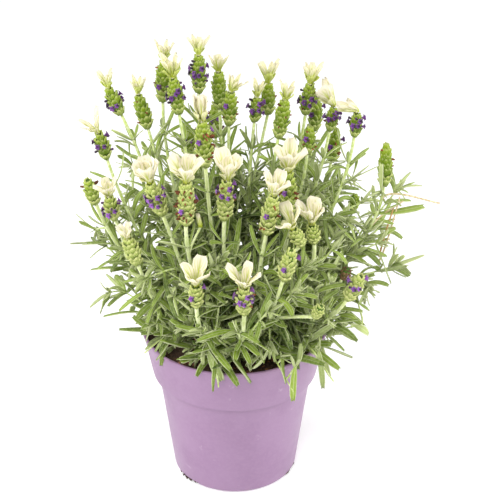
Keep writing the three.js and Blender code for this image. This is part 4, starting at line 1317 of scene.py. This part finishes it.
for owner, bundle in stemBundles.items():
    makePiece("leafy_" + owner, bundle, "foliage", owner)
print("stems dressed:", sum(len(bundle["faces"]) for bundle in stemBundles.values()), "faces")


# Crowns of bracts: the four of the solids, with smaller ones between them and a frill at the foot

crownFinish = {
    "seed": 5,
    "fullness": (0.33, 0.6),  # width of a bract as a share of its length: narrow crowns, broad ones
    "narrowBehind": -15,
    "inner": 1,  # smaller bracts inside the ring, and short ones round its foot
    "youngInner": 3,
    "frill": 3,
    "innerTilt": (0.1, 0.35),
    "innerLength": (0.6, 0.95),
    "frillTilt": (0.4, 0.75),
    "frillLength": (0.32, 0.5),
    "frillWidth": 0.75,
    "flare": (0.2, 0.4),  # how far a bract bends outwards, as a share of its length
    "youngFlare": (0.1, 0.3),
    "youngBehind": 12,  # crowns further back than this are younger: narrower and more lime
    "slimShare": 0.6,  # of the young crowns' bracts
    "openBehind": ("20", "22"),  # except these
    "aside": {"20": (-3, 0, -1), "22": (-9, 0, -2)},  # crowns blown aside, and how far
    "closed": {"11": -0.45, "24": -0.18},  # crowns whose bracts bend inwards, and how far
    "sunk": 1.2,  # how deep a bract's foot is in the hub
}
crownDice = random.Random(crownFinish["seed"])


def dressCrown(crown):
    bundle = newBundle()
    head, axis, side, seat = (crown[key] for key in ("head", "axis", "side", "seat"))
    name, back = head["name"], head["foot"][1]
    isOpen = name in crownFinish["openBehind"]
    isYoung = back > crownFinish["youngBehind"] and not isOpen
    fullness = crownFinish["fullness"][0 if back > crownFinish["narrowBehind"] and not isOpen else 1]
    aside = np.array(crownFinish["aside"].get(name, (0, 0, 0)), float)
    lime = (0.85 if isYoung else 0.12) + crownDice.uniform(-0.12, 0.12)
    hub, closing = bract["hubRadius"], crownFinish["closed"].get(name, 0)
    layCopy(bundle, "core", seat - axis * 0.2, axis * (bract["hubHeight"] + 1), side, hub, "bract", tint=1.0)

    def layBract(centre, heading, outward, length, share, flare, pale=0.0):
        isSlim = isYoung and crownDice.random() < crownFinish["slimShare"]
        name = "slimBract" if isSlim else crownDice.choice(("broadBract", "wavyBract", "foldedBract"))
        start, reach = centre - heading * crownFinish["sunk"], heading * (length + crownFinish["sunk"])
        bow = outward * (flare + closing) * length + aside
        width = length * share * crownDice.uniform(0.88, 1.12)
        marks = {"twist": crownDice.uniform(-0.35, 0.35), "tint": lime, "pale": pale}
        layCopy(bundle, name, start, reach, -outward, width, "bract", bow, **marks)

    for one in crown["bracts"]:
        flare = crownDice.uniform(*crownFinish["youngFlare" if isYoung else "flare"])
        layBract(one["centre"], one["heading"], one["outward"], one["reach"], fullness, flare)
    middle = seat + axis * bract["hubHeight"] / 2
    inner = crownFinish["youngInner" if isYoung else "inner"]
    for i in range(inner + crownFinish["frill"]):
        isFrill = i >= inner
        kind = "frill" if isFrill else "inner"
        out = turned(side, crossed(axis, side), 2.4 * i + crownDice.uniform(-0.4, 0.4))
        heading = turned(axis, out, crownDice.uniform(*crownFinish[kind + "Tilt"]))
        length = head["bracts"] * crownDice.uniform(*crownFinish[kind + "Length"])
        pale = (0.7 if isYoung else 0.3) if isFrill else 0
        share = crownFinish["frillWidth"] if isFrill else fullness
        layBract(middle + out * hub * 0.7, heading, out, length, share, 0.12, pale)
    return bundle


for crown in crowns:
    makePiece("crown_" + crown["head"]["name"], dressCrown(crown), "bracts", crown["owner"])
print("crowns dressed:", len(crowns))


# The soil: a body that fills the pot, crumbly on top, with chips of bark

soilFinish = {
    "gap": 0.3,  # between the soil and the pot's wall
    "clearance": 0.5,  # and this much more, because the wall curves between its named radii
    "sides": 96,
    "rings": 15,
    "crumble": 1.6,
    "chips": 520,
    "chipLength": (2, 8),
    "chipWidth": (0.35, 0.8),  # as a share of its length
    "chipDepth": 0.6,  # as a share of its width
    "crumbs": 34,  # in each drainage slot
    "crumbSize": 2.6,
    "seed": 3,
}


# How far out the soil reaches at a height inside the pot.
def soilRoom(height):
    step = pot["collarFootHeight"]
    if height > step:
        share = (height - step) / (pot["height"] - step)
        outer = pot["collarFootRadius"] + share * (pot["rimRadius"] - pot["collarFootRadius"])
    else:
        share = (height - pot["footHeight"]) / (step - pot["footHeight"])
        outer = pot["footRadius"] + share * (pot["shoulderRadius"] - pot["footRadius"])
    return outer - pot["wall"] - soilFinish["gap"] - soilFinish["clearance"]


def soilProfile():
    step, edge = pot["collarFootHeight"], soil["height"] - 2
    foot = pot["restRadius"] - pot["slotDepth"] / 2
    rings = [(foot, pot["floor"] + soilFinish["gap"]), (soilRoom(9), 9), (soilRoom(step), step + 1)]
    rings += [(soilRoom(step + 1) - 0.6, step + 2.6), (soilRoom(edge), edge)]
    rings += [(soilRoom(edge) - 3, soil["height"])]
    return [(radius * mm, height * mm) for radius, height in rings]


def makeSoilShape():
    body = turnedSolid(soilProfile(), soilFinish["sides"])
    surface = (soil["height"] - 0.1) * mm
    editMode(True)
    pick(body, lambda middle: middle.z > surface, "FACE")
    radius = (pot["rimRadius"] - 6) * mm
    for _ in range(soilFinish["rings"]):
        bpy.ops.mesh.inset(thickness=radius / (soilFinish["rings"] + 1))
    bpy.ops.mesh.poke()
    bpy.ops.mesh.select_mode(type="VERT")
    pick(body, lambda co: co.z > surface)
    crumble = {"offset": soilFinish["crumble"] * mm, "seed": soilFinish["seed"]}
    bpy.ops.transform.vertex_random(uniform=1.0, normal=0.0, **crumble)
    editMode(False)
    return keepShape(body)


def makeChipShape():
    bpy.ops.mesh.primitive_ico_sphere_add(subdivisions=1, radius=0.5)
    chip = bpy.context.object
    editMode(True)
    bpy.ops.mesh.select_all(action="SELECT")
    bpy.ops.transform.vertex_random(offset=0.16, uniform=1.0, normal=0.0, seed=8)
    editMode(False)
    return keepShape(chip)


shapes["chip"] = makeChipShape()


def makeSoil():
    bundle, body = newBundle(), makeSoilShape()
    addCopy(bundle, body, body["points"] / mm, "earth", 0.3)
    soilDice = random.Random(soilFinish["seed"])
    for _ in range(soilFinish["chips"]):
        angle = soilDice.uniform(0, 2 * math.pi)
        out = (pot["rimRadius"] - 9) * math.sqrt(soilDice.random())
        turn, dip = soilDice.uniform(0, 2 * math.pi), soilDice.uniform(-0.5, 0.5)
        height = soil["height"] + soilDice.uniform(-0.6, 1.0)
        place = np.array([out * math.cos(angle), out * math.sin(angle), height])
        length = soilDice.uniform(*soilFinish["chipLength"])
        reach = np.array([math.cos(turn), math.sin(turn), dip]) * length
        facing = up + ahead * soilDice.uniform(-0.5, 0.5)
        width = length * soilDice.uniform(*soilFinish["chipWidth"])
        marks = {"depth": width * soilFinish["chipDepth"], "tint": soilDice.random()}
        layCopy(bundle, "chip", place, reach, facing, width, "bark", **marks)
    # crumbs that fill the slots at the pot's foot
    for i in range(pot["slots"] * soilFinish["crumbs"]):
        turn = math.radians(pot["slotTurn"] + 360 * (i % pot["slots"]) / pot["slots"])
        across = soilDice.uniform(-0.46, 0.46) * pot["slotWidth"]
        out = pot["footRadius"] - soilDice.uniform(0.2, 4.5)
        size = soilFinish["crumbSize"] * soilDice.uniform(0.6, 1)
        outward = np.array([math.cos(turn), math.sin(turn), 0])
        sideways = np.array([-math.sin(turn), math.cos(turn), 0])
        place = outward * math.sqrt(out * out - across * across) + sideways * across
        place[2] = soilDice.uniform(0.5 * size, pot["slotHeight"] - 0.3 * size)
        start, tint = place - sideways * size / 2, soilDice.random()
        layCopy(bundle, "chip", start, sideways * size, up, size, "earth", tint=tint)
    return bundle


makePiece("potting_soil", makeSoil(), "soil", "soil")
print("soil made")


# The stage: a pale floor, soft light from both sides, and the camera at the photograph's angle

stage = {"floor": 4.0, "world": 0.47, "floorGlow": 0.3, "lightsAimAt": (0, 0, 0.2)}
camera = {"target": (12.5, 0, 203), "elevation": 30, "distance": 1596, "lens": 144, "sensor": 36}
white = (1, 1, 1, 1)
softboxes = [
    {"name": "leftSoftbox", "from": (-1.4, -0.2, 0.8), "size": 1.0, "power": 16},
    {"name": "rightSoftbox", "from": (1.4, -0.1, 0.8), "size": 1.0, "power": 19.5},
    {"name": "frontSoftbox", "from": (-0.3, -1.3, 1.5), "size": 0.8, "power": 22},
]


def aim(thing, target):
    x, y, z = target - np.array(thing.location)
    thing.rotation_mode = "XYZ"
    thing.rotation_euler = (math.pi / 2 + math.atan2(z, math.hypot(x, y)), 0, math.atan2(-x, y))


def makeFloor():
    bpy.ops.mesh.primitive_plane_add(size=stage["floor"])
    floor = bpy.context.object
    floor.name = "floor"
    material, nodes = newMaterial("paleFloor", 0.9, Emission_Strength=stage["floorGlow"])
    inputs = nodes.tree.nodes["Principled BSDF"].inputs
    inputs["Base Color"].default_value = (0.8, 0.8, 0.8, 1)
    inputs["Emission Color"].default_value = white
    floor.data.materials.append(material)


def makeLights():
    world = bpy.data.worlds.new("studio")
    world.use_nodes = True
    background = world.node_tree.nodes["Background"].inputs
    background["Color"].default_value = white
    background["Strength"].default_value = stage["world"]
    bpy.context.scene.world = world
    for box in softboxes:
        bpy.ops.object.light_add(type="AREA", location=box["from"])
        light = bpy.context.object
        light.name = box["name"]
        light.data.size = box["size"]
        light.data.energy = box["power"]
        aim(light, np.array(stage["lightsAimAt"]))


def makeCamera():
    target = np.array(camera["target"]) * mm
    angle = math.radians(camera["elevation"])
    back = np.array([0, -math.cos(angle), math.sin(angle)]) * camera["distance"] * mm
    bpy.ops.object.camera_add(location=target + back)
    view = bpy.context.object
    view.data.lens = camera["lens"]
    view.data.sensor_width = camera["sensor"]
    aim(view, target)
    bpy.context.scene.camera = view


makeFloor()
makeLights()
makeCamera()
bpy.context.scene.view_settings.view_transform = "Standard"
print("stage set")
